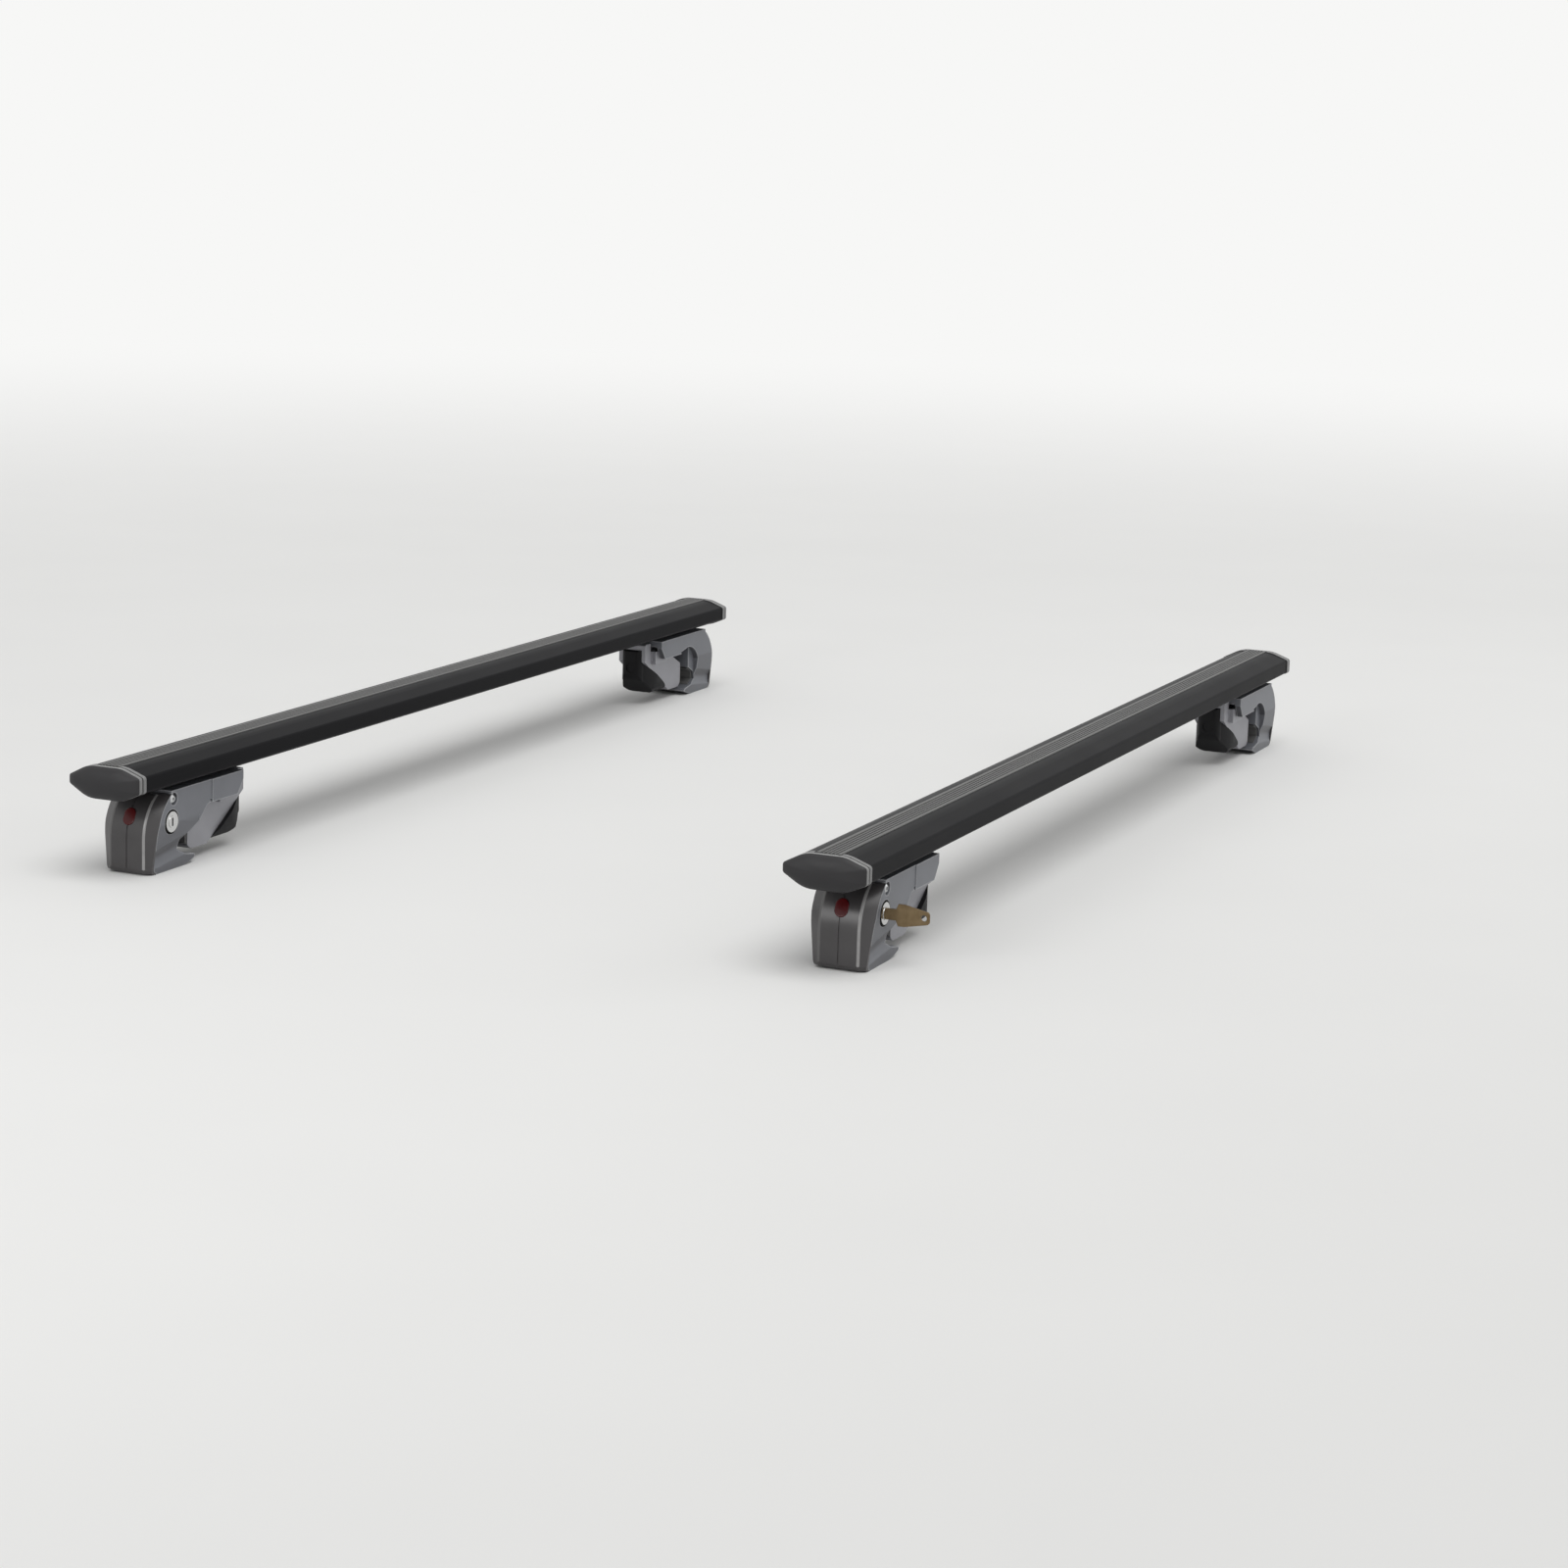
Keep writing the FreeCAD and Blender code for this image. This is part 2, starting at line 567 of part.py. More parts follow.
def face(back, floor):
    """Outer face of the foot from its top down, set back by a distance."""
    return [
        (f"nose_top_in + {back}", "nose_top_up", face_radius, 1),
        (back, "bulge_up"),
        (back, f"{floor} + nose_corner", "nose_corner", 1),
        (f"nose_corner + {back}", floor),
    ]


housing = new_body("housing")
outline(housing, "Pad", "housing_blank", "XZ_Plane", [
    ("lip_heel", "0", "lip_curl", 1),
    ("lip_tip", "lip_nose"),
    ("lip_tip - lip_edge / 2", "lip_nose + lip_edge"),
    ("lip_root", "lip_top"),
    ("throat_in", "throat_low"),
    ("seat_in", "seat_low"),
    ("seat_out", "seat_high"),
    ("haunch_in", "haunch_up"),
    ("block_in - notch_wide", "block_low"),
    ("block_in - notch_wide", "block_low + notch_deep"),
    ("block_in", "block_low + notch_deep"),
    ("block_in", "block_low"),
    ("arm_end - arm_bevel", "block_low"),
    ("arm_end", "block_low + arm_bevel_up"),
    ("arm_end", house_top),
    ("nose_top_in + seam_in + cover_gap", house_top),
] + face("(seam_in + cover_gap)", "cover_lift") + [
    ("nose_corner + seam_in + cover_gap", "0"),
], "foot_width", midplane=True)

outline(housing, "Pocket", "jaw_channel", "XZ_Plane", [
    ("web_in", "web_low"),
    ("arm_end + 10", "web_low"),
    ("arm_end + 10", chan_top),
    ("web_in", chan_top),
], "2 * (" + chan_half + ")", midplane=True)

outline(housing, "Pocket", "plain_arch", "XZ_Plane", [
    ("throat_in + 1", "throat_low + 3"),
    ("seat_out", "throat_low + 3"),
    ("block_in - notch_wide", "haunch_up - 10"),
    ("block_in - notch_wide", "arch_up - 3"),
    ("arch_in", "arch_up", "arch_in - throat_in", 1),
    ("throat_in + 1", "arch_low"),
], "cheek_wall + 5", shift="-(" + chan_half + ")")


# Scooped flanks below a crease that rises inboard, one on each side.
flanks = new_sketch(housing, "flanks_sketch", "YZ_Plane")
flanks.AttachmentOffset = FreeCAD.Placement(FreeCAD.Vector(), FreeCAD.Rotation(X, -1))
flanks.setExpression("AttachmentOffset.Rotation.Angle", bound("-crease_lean * 1deg"))
flank_base = "(flank_foot - lip_tip * tan(crease_lean * 1deg) / 2)"
flank_span = f"((crease_up - {flank_base}) / 2)"
flank_radius = f"({flank_span} ^ 2 + flank_in ^ 2) / (2 * flank_in)"
for sign, side in (("", 1), ("-", -1)):
    add_loop(flanks, [
        (f"{sign}({half_wide})", "crease_up", flank_radius, side),
        (f"{sign}({half_wide})", flank_base),
        (f"{sign}({half_wide} + 5)", flank_base),
        (f"{sign}({half_wide} + 5)", "crease_up"),
    ])
feature(housing, "Pocket", "flanks", flanks, "3 * lip_tip", midplane=True)

draft_corners = []
for sign in ("", "-"):
    draft_corners.append([
        (f"{sign}({half_wide})", "draft_up"),
        (f"{sign}({half_wide} - draft_in)", "0"),
        (f"{sign}({half_wide} - draft_in)", "-5"),
        (f"{sign}({half_wide} + 5)", "-5"),
        (f"{sign}({half_wide} + 5)", "draft_up"),
    ])
outline(housing, "Pocket", "housing_draft", "YZ_Plane", draft_corners, "2 * lip_tip", midplane=True)
drill(housing, "Pocket", "bolt_hole", "YZ_Plane", "0", "bolt_up", "bolt_radius + bolt_clear",
      "web_in", shift="bolt_seat - 1", back=True)
drill(housing, "Pocket", "bolt_bore", "YZ_Plane", "0", "bolt_up", "bolt_access",
      "bolt_seat + 5", shift="bolt_seat")
drill(housing, "Pocket", "lock_recess_cut", "XZ_Plane", "lock_in", "lock_up", "lock_recess",
      "lock_sink", shift=half_wide)
drill(housing, "Pocket", "lock_bore", "XZ_Plane", "lock_in", "lock_up", "barrel_radius + barrel_fit",
      half_wide + " - barrel_inner", shift=half_wide)
cam_outer = "barrel_inner - cam_gap"
cam_inner = "barrel_inner - cam_gap - cam_thick"
outline(housing, "Pocket", "cam_slot", "XZ_Plane", [
    ("-5", "lock_up - plug_radius - cam_gap"),
    ("tongue_end + 2", "lock_up - plug_radius - cam_gap"),
    ("tongue_end + 2", "tongue_high + cam_gap + 0.5"),
    ("-5", "tongue_high + cam_gap + 0.5"),
], "cam_thick + 2 * cam_gap", shift="barrel_inner")
drill(housing, "Pocket", "side_screw_recess", "XZ_Plane", "side_screw_in", "side_screw_up",
      "screw_recess", "screw_sink", shift=half_wide)
drill(housing, "Pocket", "side_screw_hole", "XZ_Plane", "side_screw_in", "side_screw_up",
      "screw_radius + screw_fit", "screw_sink + screw_length + 1", shift=half_wide)
top_holes = new_sketch(housing, "top_holes_sketch", "XY_Plane", shift=house_top)
add_circle(top_holes, "bar_screw_one", "0", "screw_radius + screw_fit")
add_circle(top_holes, "bar_screw_two", "0", "screw_radius + screw_fit")
feature(housing, "Pocket", "top_holes", top_holes, "top_wall + 1")
outline(housing, "Pad", "arm_block", "XZ_Plane", [
    ("block_in", "block_low"),
    ("arm_end - arm_bevel", "block_low"),
    ("arm_end", "block_low + arm_bevel_up"),
    ("arm_end", house_top),
    ("block_in", house_top),
], "block_proud", shift=half_wide)

# Outer cover: flat front between two ridges, sides raked back to the cheeks, cored out behind.
cover = new_body("cover")
cover_area = [
    ("2 * nose_top_in", "cover_lift"),
    ("2 * nose_top_in", "nose_top_up"),
] + face("0", "cover_lift")
outline(cover, "Pad", "cover_front", "XZ_Plane", cover_area, "2 * facet_half", midplane=True)
for name, sign in (("lock", "-"), ("plain", "")):
    wing = new_sketch(cover, f"cover_{name}_sketch", "XZ_Plane")
    wing.setExpression("AttachmentOffset.Base.z", bound(f"-({sign}facet_half)"))
    add_loop(wing, cover_area)
    raked = cover.newObject("PartDesign::Pad", f"cover_{name}_side")
    raked.Profile = wing
    raked.UseCustomVector = True
    raked.Direction = FreeCAD.Vector(1, -1 if sign else 1, 0)
    raked.setExpression("Direction.x", bound("seam_in"))
    raked.setExpression("Direction.y", bound(f"{sign}({half_wide} - facet_half)"))
    raked.AlongSketchNormal = True
    raked.setExpression("Length", bound(f"{half_wide} - facet_half"))
    wing.Visibility = False
    checked(raked)
outline(cover, "Pocket", "cover_seam", "XZ_Plane", [
    ("seam_in + nose_corner", "-5"),
    ("4 * nose_top_in", "-5"),
    ("4 * nose_top_in", "nose_top_up + 5"),
    ("nose_top_in + seam_in", "nose_top_up + 5"),
] + face("seam_in", "cover_lift"), "2 * foot_width", midplane=True)
core_top = "(nose_top_up - 2 * cover_wall)"


def behind_face(depth, up):
    """Distance from the nose to a point behind the curved face at a height."""
    return f"{depth} + {face_radius} - sqrt(({face_radius}) ^ 2 - ({up} - bulge_up) ^ 2)"


outline(cover, "Pocket", "cover_draft", "YZ_Plane", draft_corners, "4 * nose_top_in", midplane=True)
outline(cover, "Pocket", "cover_coring", "XZ_Plane", [
    ("cover_wall", "nose_corner + cover_lift"),
    ("2 * nose_top_in", "nose_corner + cover_lift"),
    ("2 * nose_top_in", core_top),
    (behind_face("cover_wall", core_top), core_top, face_radius, 1),
    ("cover_wall", "bulge_up"),
], "2 * (facet_half - 2 * cover_wall)", midplane=True)
outline(cover, "Pad", "cover_tongue", "XZ_Plane", [
    (behind_face("cover_wall / 2", "tongue_low"), "tongue_low"),
    ("lock_in - cam_reach - cam_half", "tongue_low"),
    ("lock_in - cam_reach - cam_half", "tongue_high - tongue_bridge"),
    ("tongue_end - tongue_hook", "tongue_high - tongue_bridge"),
    ("tongue_end - tongue_hook", "tongue_low"),
    ("tongue_end", "tongue_low"),
    ("tongue_end", "tongue_high"),
    (behind_face("cover_wall / 2", "tongue_high"), "tongue_high"),
], "cam_thick", shift=cam_inner)

# Centre line: a fine groove down the middle of the face, cut before the marker's recess.
outline(cover, "Pocket", "centre_line", "XZ_Plane", [
    ("-5", "cover_lift + nose_corner"),
    ("line_deep", "cover_lift + nose_corner"),
    ("line_deep", "bulge_up", face_radius, -1),
    ("nose_top_in + line_deep", "nose_top_up"),
    ("-5", "nose_top_up"),
], "line_wide", midplane=True)

# Marker: a domed oval set into the cover square to its surface.
marker_tilt = f"asin((marker_up - bulge_up) / ({face_radius}))"


def oval(sketch, extra):
    straight = "(marker_tall - marker_wide) / 2"
    half = f"marker_wide / 2 + {extra}"
    add_loop(sketch, [
        (half, "-" + straight), (half, straight, f"({half}) * 1.02", 1),
        ("-(" + half + ")", straight), ("-(" + half + ")", "-" + straight, f"({half}) * 1.02", 1),
    ])


recess = new_sketch(cover, "marker_recess_sketch", "YZ_Plane")
recess.AttachmentOffset = FreeCAD.Placement(FreeCAD.Vector(), FreeCAD.Rotation(X, 30))
recess.setExpression("AttachmentOffset.Rotation.Angle", bound(marker_tilt))
marker_depth = f"({face_radius} - marker_sink)"
recess.setExpression("AttachmentOffset.Base.y", bound(f"bulge_up + {marker_depth} * sin({marker_tilt})"))
recess.setExpression("AttachmentOffset.Base.z", bound(f"{face_radius} - {marker_depth} * cos({marker_tilt})"))
oval(recess, "marker_fit")
feature(cover, "Pocket", "marker_recess", recess, "marker_sink + 5")
marker = new_body("marker")
marker_face = new_sketch(marker, "marker_sketch", "YZ_Plane")
oval(marker_face, "0")
feature(marker, "Pad", "marker_pad", marker_face, "marker_thick", back=True)
soften(marker, "marker_edge", "marker_round", lambda edge: edge.BoundBox.XMax < -number(dims, "marker_thick / 2"))
marker.Placement = FreeCAD.Placement(FreeCAD.Vector(), FreeCAD.Rotation(Y, 30))
marker.setExpression("Placement.Rotation.Angle", bound(marker_tilt))
marker.setExpression("Placement.Base.x", bound(f"{face_radius} - {marker_depth} * cos({marker_tilt})"))
marker.setExpression("Placement.Base.z", bound(f"bulge_up + {marker_depth} * sin({marker_tilt})"))

# Lock: flanged barrel, and a plug with keyway and cam; both turned about the lock axis.
lock_face = half_wide + " + barrel_proud"
barrel = new_body("lock_barrel")
turn(barrel, "barrel_turned", [
    ("-(" + lock_face + ")", "plug_radius + plug_run"),
    ("-(" + lock_face + ")", "barrel_flange"),
    ("-(" + half_wide + " - lock_sink)", "barrel_flange"),
    ("-(" + half_wide + " - lock_sink)", "barrel_radius"),
    ("-barrel_inner", "barrel_radius"),
    ("-barrel_inner", "plug_radius + plug_run"),
])
plug = new_body("lock_plug")
turn(plug, "plug_turned", [
    ("-(" + lock_face + " + plug_proud)", "0"),
    ("-(" + lock_face + " + plug_proud)", "plug_radius"),
    ("-(" + cam_outer + ")", "plug_radius"),
    ("-(" + cam_outer + ")", "0"),
])
outline(plug, "Pad", "cam", "YZ_Plane", [
    ("-cam_half", "-cam_half"),
    ("cam_reach", "-cam_half"),
    ("cam_reach", "cam_half"),
    ("-cam_half", "cam_half"),
], "cam_thick", shift="-(" + cam_outer + ")")
outline(plug, "Pocket", "keyway", "YZ_Plane", [
    ("-keyway_wide / 2", "-keyway_tall / 2"),
    ("keyway_wide / 2", "-keyway_tall / 2"),
    ("keyway_wide / 2", "keyway_tall / 2"),
    ("-keyway_wide / 2", "keyway_tall / 2"),
], "keyway_deep", shift="-(" + lock_face + " + plug_proud)", back=True)

# Key: blade in the keyway, shank and a tapering bow with a hole; local X runs into the lock.
key = new_body("key_body")
key_base = "(key_shank + key_bow)"
outline(key, "Pad", "key_blank", "XY_Plane", [
    ("key_blade", "-key_blade_tall / 2"), ("key_blade", "key_blade_tall / 2"),
    ("0", "key_blade_tall / 2"), ("0", "keyway_tall / 2 + 1"),
    ("-key_shank", "keyway_tall / 2 + 1"), ("-key_shank - 2", "key_bow_wide / 2"),
    ("-key_shank - key_bow / 4", "key_bow_wide / 2"), ("-" + key_base, "key_bow_tip / 2"),
    ("-" + key_base, "-key_bow_tip / 2"), ("-key_shank - key_bow / 4", "-key_bow_wide / 2"),
    ("-key_shank - 2", "-key_bow_wide / 2"), ("-key_shank", "-keyway_tall / 2 - 1"),
    ("0", "-keyway_tall / 2 - 1"), ("0", "-key_blade_tall / 2"),
], "key_thick", midplane=True)
soften(key, "key_rounds", "key_round",
       lambda edge: runs_along(edge, Z) and edge.CenterOfMass.x < -number(dims, key_base + " - 1"))
drill(key, "Pocket", "key_eye", "XY_Plane", "-" + key_base + " + key_hole + 2.5", "0", "key_hole",
      "2 * key_thick", midplane=True)

# Clamp bolt: socket-head, lies along the foot and threads into the jaw.
bolt = new_body("clamp_bolt")
turn(bolt, "bolt_turned", [
    ("-bolt_head_long", "0"),
    ("-bolt_head_long", "bolt_head - 0.6"),
    ("-bolt_head_long + 0.6", "bolt_head"),
    ("0", "bolt_head"),
    ("0", "bolt_radius"),
    ("bolt_length - 1", "bolt_radius"),
    ("bolt_length", "bolt_radius - 1"),
    ("bolt_length", "0"),
])
outline(bolt, "Pocket", "bolt_socket", "YZ_Plane", hexagon("socket_flats"), "socket_deep",
        shift="-bolt_head_long", back=True)
bolt.setExpression("Placement.Base.x", bound("bolt_seat - bolt_clear"))
bolt.setExpression("Placement.Base.z", bound("bolt_up"))

# Screw: button head at the origin, shank along +X; three of them make the foot's screw set.
screw = new_body("screw")
turn(screw, "screw_turned", [
    ("-screw_head_tall", "0"),
    ("-screw_head_tall", "screw_head / 2"),
    ("-screw_head_tall / 3", "screw_head"),
    ("0", "screw_head"),
    ("0", "screw_radius"),
    ("screw_length - 0.6", "screw_radius"),
    ("screw_length", "screw_radius - 0.6"),
    ("screw_length", "0"),
])
outline(screw, "Pocket", "screw_drive", "YZ_Plane", hexagon("screw_socket"), "screw_head_tall * 0.6",
        shift="-screw_head_tall", back=True)


def placed_link(name, target, spot, rotation):
    """Link to a piece, placed by formulas for x, y and z and a fixed turn."""
    link = doc.addObject("App::Link", name)
    link.LinkedObject = target
    link.LinkTransform = True
    link.Placement = FreeCAD.Placement(FreeCAD.Vector(), rotation)
    for letter, formula in zip("xyz", spot):
        link.setExpression("Placement.Base." + letter, bound(formula))
    return link


upward = FreeCAD.Rotation(Y, -90)
inward = FreeCAD.Rotation(Z, 90)
screws = doc.addObject("Part::Compound", "screw_set")
screws.Links = [
    placed_link("screw_one", screw, ("bar_screw_one", "0", chan_top), upward),
    placed_link("screw_two", screw, ("bar_screw_two", "0", chan_top), upward),
    placed_link("screw_side", screw, ("side_screw_in", "-(" + half_wide + " - screw_sink)", "side_screw_up"),
                inward),
]

# Channel nut: a T-shaped bar that stands on the housing and runs in the bottom channel.
nut = new_body("channel_nut")
nut_floor = "foot_height + chan_lip + nut_lift"
nut_long = "bar_screw_two - bar_screw_one + 2 * nut_end"
nut_half = [
    ("chan_inner / 2 - nut_side", nut_floor + " + nut_thick"),
    ("chan_inner / 2 - nut_side", nut_floor),
    ("chan_opening / 2 - nut_side", nut_floor),
    ("chan_opening / 2 - nut_side", house_top),
]
outline(nut, "Pad", "nut_blank", "YZ_Plane", mirrored(nut_half), nut_long, shift="bar_screw_one - nut_end")
nut_holes = new_sketch(nut, "nut_holes_sketch", "XY_Plane", shift=nut_floor + " + nut_thick + 1")
add_circle(nut_holes, "bar_screw_one", "0", "screw_radius + screw_fit / 2")
add_circle(nut_holes, "bar_screw_two", "0", "screw_radius + screw_fit / 2")
feature(nut, "Pocket", "nut_holes", nut_holes, "nut_thick + chan_lip + 5")

# Jaw: slider in the housing, sloping arm to the jaw face, and an upright leg behind the arm end.
jaw = new_body("jaw")
outline(jaw, "Pad", "jaw_arm", "XZ_Plane", [
    ("jaw_face", "jaw_toe + 4"),
    ("jaw_toe_in", "jaw_toe"),
    ("jaw_toe_out", "jaw_toe"),
    ("jaw_belly_in", "jaw_belly_up"),
    ("jaw_back", "jaw_heel"),
    ("jaw_back", "jaw_leg_top"),
    ("jaw_leg", "jaw_leg_top"),
    ("jaw_leg", "jaw_slide_top"),
    ("jaw_knee", "jaw_slide_top"),
    ("jaw_face", "jaw_face_top"),
], "2 * jaw_half", midplane=True)
outline(jaw, "Pad", "jaw_slider", "XZ_Plane", [
    ("jaw_knee - 2", "jaw_slide_low"),
    ("jaw_slide_out", "jaw_slide_low"),
    ("jaw_slide_out", "jaw_slide_top"),
    ("jaw_knee - 2", "jaw_slide_top"),
], "2 * (" + chan_half + " - jaw_guide)", midplane=True)


def jaw_corner(edge):
    middle = edge.CenterOfMass
    low = middle.z < number(dims, "jaw_toe + 5") or middle.z > number(dims, "jaw_leg_top - 1")
    return runs_along(edge, Y) and low


soften(jaw, "jaw_rounds", "jaw_round", jaw_corner)
drill(jaw, "Pocket", "jaw_thread", "YZ_Plane", "0", "bolt_up", "bolt_radius + bolt_run",
      "jaw_back", shift="jaw_face - 5", back=True)

# Jaw cover: tapering shell on the inboard side of the jaw with a round dimple.
shroud = new_body("jaw_cover")
outline(shroud, "Pad", "shroud_blank", "XZ_Plane", [
    ("jaw_toe_out + 2", "shroud_low"),
    ("shroud_sweep", "shroud_low"),
    ("shroud_end", "shroud_sweep_up"),
    ("shroud_end", "shroud_top"),
    ("jaw_back", "shroud_top"),
    ("jaw_back", "jaw_heel"),
    ("jaw_belly_in", "jaw_belly_up"),
], "2 * shroud_half", midplane=True)


def shroud_belly(edge):
    middle = edge.CenterOfMass
    low = middle.z < number(dims, "shroud_sweep_up + 1")
    return runs_along(edge, Y) and low and middle.x > number(dims, "shroud_sweep - 1")


soften(shroud, "shroud_belly", "belly_round", shroud_belly)
soften(shroud, "shroud_brow", "brow_round",
       lambda edge: runs_along(edge, Y) and edge.CenterOfMass.z > number(dims, "shroud_top - 1")
       and edge.CenterOfMass.x > number(dims, "shroud_end - 1"))
corners = []
for sign, side in (("", -1), ("-", 1)):
    corners.append([
        ("shroud_end + 1", f"{sign}(shroud_half + 1)"),
        ("shroud_taper", f"{sign}(shroud_half + 1)"),
        ("shroud_taper", f"{sign}shroud_half", "shroud_round", side),
        ("shroud_end - bulb_round", f"{sign}shroud_tip", "bulb_round * 1.05", side),
        ("shroud_end", f"{sign}(shroud_tip - bulb_round)"),
        ("shroud_end + 1", f"{sign}(shroud_tip - bulb_round)"),
    ])
outline(shroud, "Pocket", "shroud_plan", "XY_Plane", corners, "4 * foot_height", midplane=True)
keel = []
for sign, side in (("", -1), ("-", 1)):
    keel.append([
        (f"{sign}(shroud_half + 1)", "shroud_low - 1"),
        (f"{sign}(shroud_half + 1)", "shroud_low + keel_round"),
        (f"{sign}shroud_half", "shroud_low + keel_round", "keel_round", side),
        (f"{sign}(shroud_half - keel_round)", "shroud_low"),
        (f"{sign}(shroud_half - keel_round)", "shroud_low - 1"),
    ])
outline(shroud, "Pocket", "shroud_keel", "YZ_Plane", keel, "3 * shroud_end", midplane=True)
drill(shroud, "Pocket", "shroud_dimple", "YZ_Plane", "0", "dimple_up", "dimple_radius",
      "dimple_deep + 5", shift="shroud_end - dimple_deep", back=True)

# Rubber pads that face the rail.
hook_pad = new_body("hook_pad")
outline(hook_pad, "Pad", "hook_pad_blank", "XZ_Plane", [
    ("lip_root", "lip_top"),
    ("lip_root + pad_thick", "lip_top"),
    ("throat_in + pad_thick", "throat_low + 0.5"),
    ("seat_in + pad_thick", "seat_low"),
    ("pad_end + pad_thick / 2", "seat_low + (seat_high - seat_low) * (pad_end - seat_in) / (seat_out - seat_in) - 1"),
    ("pad_end", "seat_low + (seat_high - seat_low) * (pad_end - seat_in) / (seat_out - seat_in)"),
    ("seat_in", "seat_low"),
    ("throat_in", "throat_low"),
], "2 * pad_half", midplane=True)
jaw_pad = new_body("jaw_pad")
outline(jaw_pad, "Pad", "jaw_pad_blank", "XZ_Plane", [
    ("jaw_face", "jaw_pad_low"),
    ("jaw_face", "jaw_pad_high"),
    ("jaw_face - pad_thick", "jaw_pad_high - pad_bevel"),
    ("jaw_face - pad_thick", "jaw_pad_low + pad_bevel"),
], "2 * jaw_pad_half", midplane=True)

# Assembly: two bars with their fittings, four feet, and the key in the rear left lock.
straight = FreeCAD.Rotation()
reverse = FreeCAD.Rotation(Z, 180)
nodes = []


def place(label, target, spot, rotation):
    link = placed_link(label, target, spot, rotation)
    link.Label = label
    nodes.append(link)


bar_mid = "foot_height + bar_depth / 2"
lock_turn = FreeCAD.Rotation(Z, 90)
foot_pieces = [
    ("housing", housing), ("outer_cover", cover), ("marker", marker), ("lock_barrel", barrel),
    ("lock_plug", plug), ("clamp_bolt", bolt), ("screws", screws), ("channel_nut", nut),
    ("jaw", jaw), ("jaw_cover", shroud), ("hook_pad", hook_pad), ("jaw_pad", jaw_pad),
]
barrel.Placement = FreeCAD.Placement(FreeCAD.Vector(), lock_turn)
plug.Placement = FreeCAD.Placement(FreeCAD.Vector(), lock_turn)
key.Placement = FreeCAD.Placement(FreeCAD.Vector(), lock_turn * FreeCAD.Rotation(X, 90))
for piece in (barrel, plug, key):
    piece.setExpression("Placement.Base.x", bound("lock_in"))
    piece.setExpression("Placement.Base.z", bound("lock_up"))
key.setExpression("Placement.Base.y", bound("-(" + lock_face + " + plug_proud)"))
for end, along in (("front", "bar_spacing / 2"), ("rear", "-bar_spacing / 2")):
    place(end + "_bar", bar, ("0", along, bar_mid), straight)
    place(end + "_strip", strip, ("0", along, bar_mid), straight)
    place(end + "_infill", infill, ("0", along, bar_mid), straight)
    place(end + "_left_cap", left_cap, ("-bar_length / 2", along, bar_mid), reverse)
    place(end + "_right_cap", right_cap, ("bar_length / 2", along, bar_mid), straight)
    left = ("-bar_length / 2 + left_inset", along, "0")
    right = ("bar_length / 2 - right_inset", along, "0")
    for name, piece in foot_pieces:
        place(f"{end}_left_{name}", piece, left, straight)
        place(f"{end}_right_{name}", piece, right, reverse)
place("key", key, ("-bar_length / 2 + left_inset", "-bar_spacing / 2", "0"), straight)
doc.recompute()

for item in doc.Objects:
    if "Invalid" in item.State or "Error" in item.State:
        raise RuntimeError(f"{item.Label} did not build: {item.State}")
os.makedirs("parts", exist_ok=True)
for node in nodes:
    shape = Part.getShape(node)
    if shape.isNull() or not shape.isValid() or not shape.Solids:
        raise RuntimeError(f"{node.Label} has no valid solid")
    shape.exportStep(f"parts/{node.Label}.step")
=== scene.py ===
import math

import bmesh
import bpy
from mathutils import Matrix, Vector


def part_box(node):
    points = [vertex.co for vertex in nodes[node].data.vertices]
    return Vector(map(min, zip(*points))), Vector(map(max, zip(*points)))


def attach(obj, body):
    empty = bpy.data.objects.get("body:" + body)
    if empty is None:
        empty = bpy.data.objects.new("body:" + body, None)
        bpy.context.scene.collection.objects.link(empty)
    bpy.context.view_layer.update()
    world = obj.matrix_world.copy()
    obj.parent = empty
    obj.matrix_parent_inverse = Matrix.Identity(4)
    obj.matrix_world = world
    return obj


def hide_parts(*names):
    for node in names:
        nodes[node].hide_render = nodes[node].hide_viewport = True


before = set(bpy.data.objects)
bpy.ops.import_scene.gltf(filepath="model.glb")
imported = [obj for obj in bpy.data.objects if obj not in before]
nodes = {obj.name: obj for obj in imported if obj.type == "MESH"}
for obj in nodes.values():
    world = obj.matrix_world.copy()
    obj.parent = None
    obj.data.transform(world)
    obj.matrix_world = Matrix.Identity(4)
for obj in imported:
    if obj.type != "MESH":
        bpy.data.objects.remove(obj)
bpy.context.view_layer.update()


# Bars: hollow wing-shaped aluminium extrusions, cut to length and powder coated.
# Baked powder in satin black: a nearly dull film with a slight orange peel.
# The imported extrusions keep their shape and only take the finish.
def linear(code):
    """Turn an sRGB hex colour into the linear colour that shaders use."""
    parts = [int(code[i:i + 2], 16) / 255 for i in (1, 3, 5)]
    return tuple(p / 12.92 if p <= 0.04045 else ((p + 0.055) / 1.055) ** 2.4 for p in parts) + (1.0,)


def add_node(tree, kind, settings=None, links=None):
    """Add one node, set its sockets or properties, and link its inputs."""
    node = tree.nodes.new(kind)
    for key, value in (settings or {}).items():
        if isinstance(key, int) or key in node.inputs:
            node.inputs[key].default_value = value
        else:
            setattr(node, key, value)
    for key, source in (links or {}).items():
        tree.links.new(source, node.inputs[key])
    return node


def start_finish(name):
    """Give a new material with an empty node tree."""
    finish = bpy.data.materials.new(name)
    finish.use_nodes = True
    finish.node_tree.nodes.clear()
    return finish, finish.node_tree


def dress(name, finish):
    """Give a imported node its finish."""
    nodes[name].data.materials.clear()
    nodes[name].data.materials.append(finish)


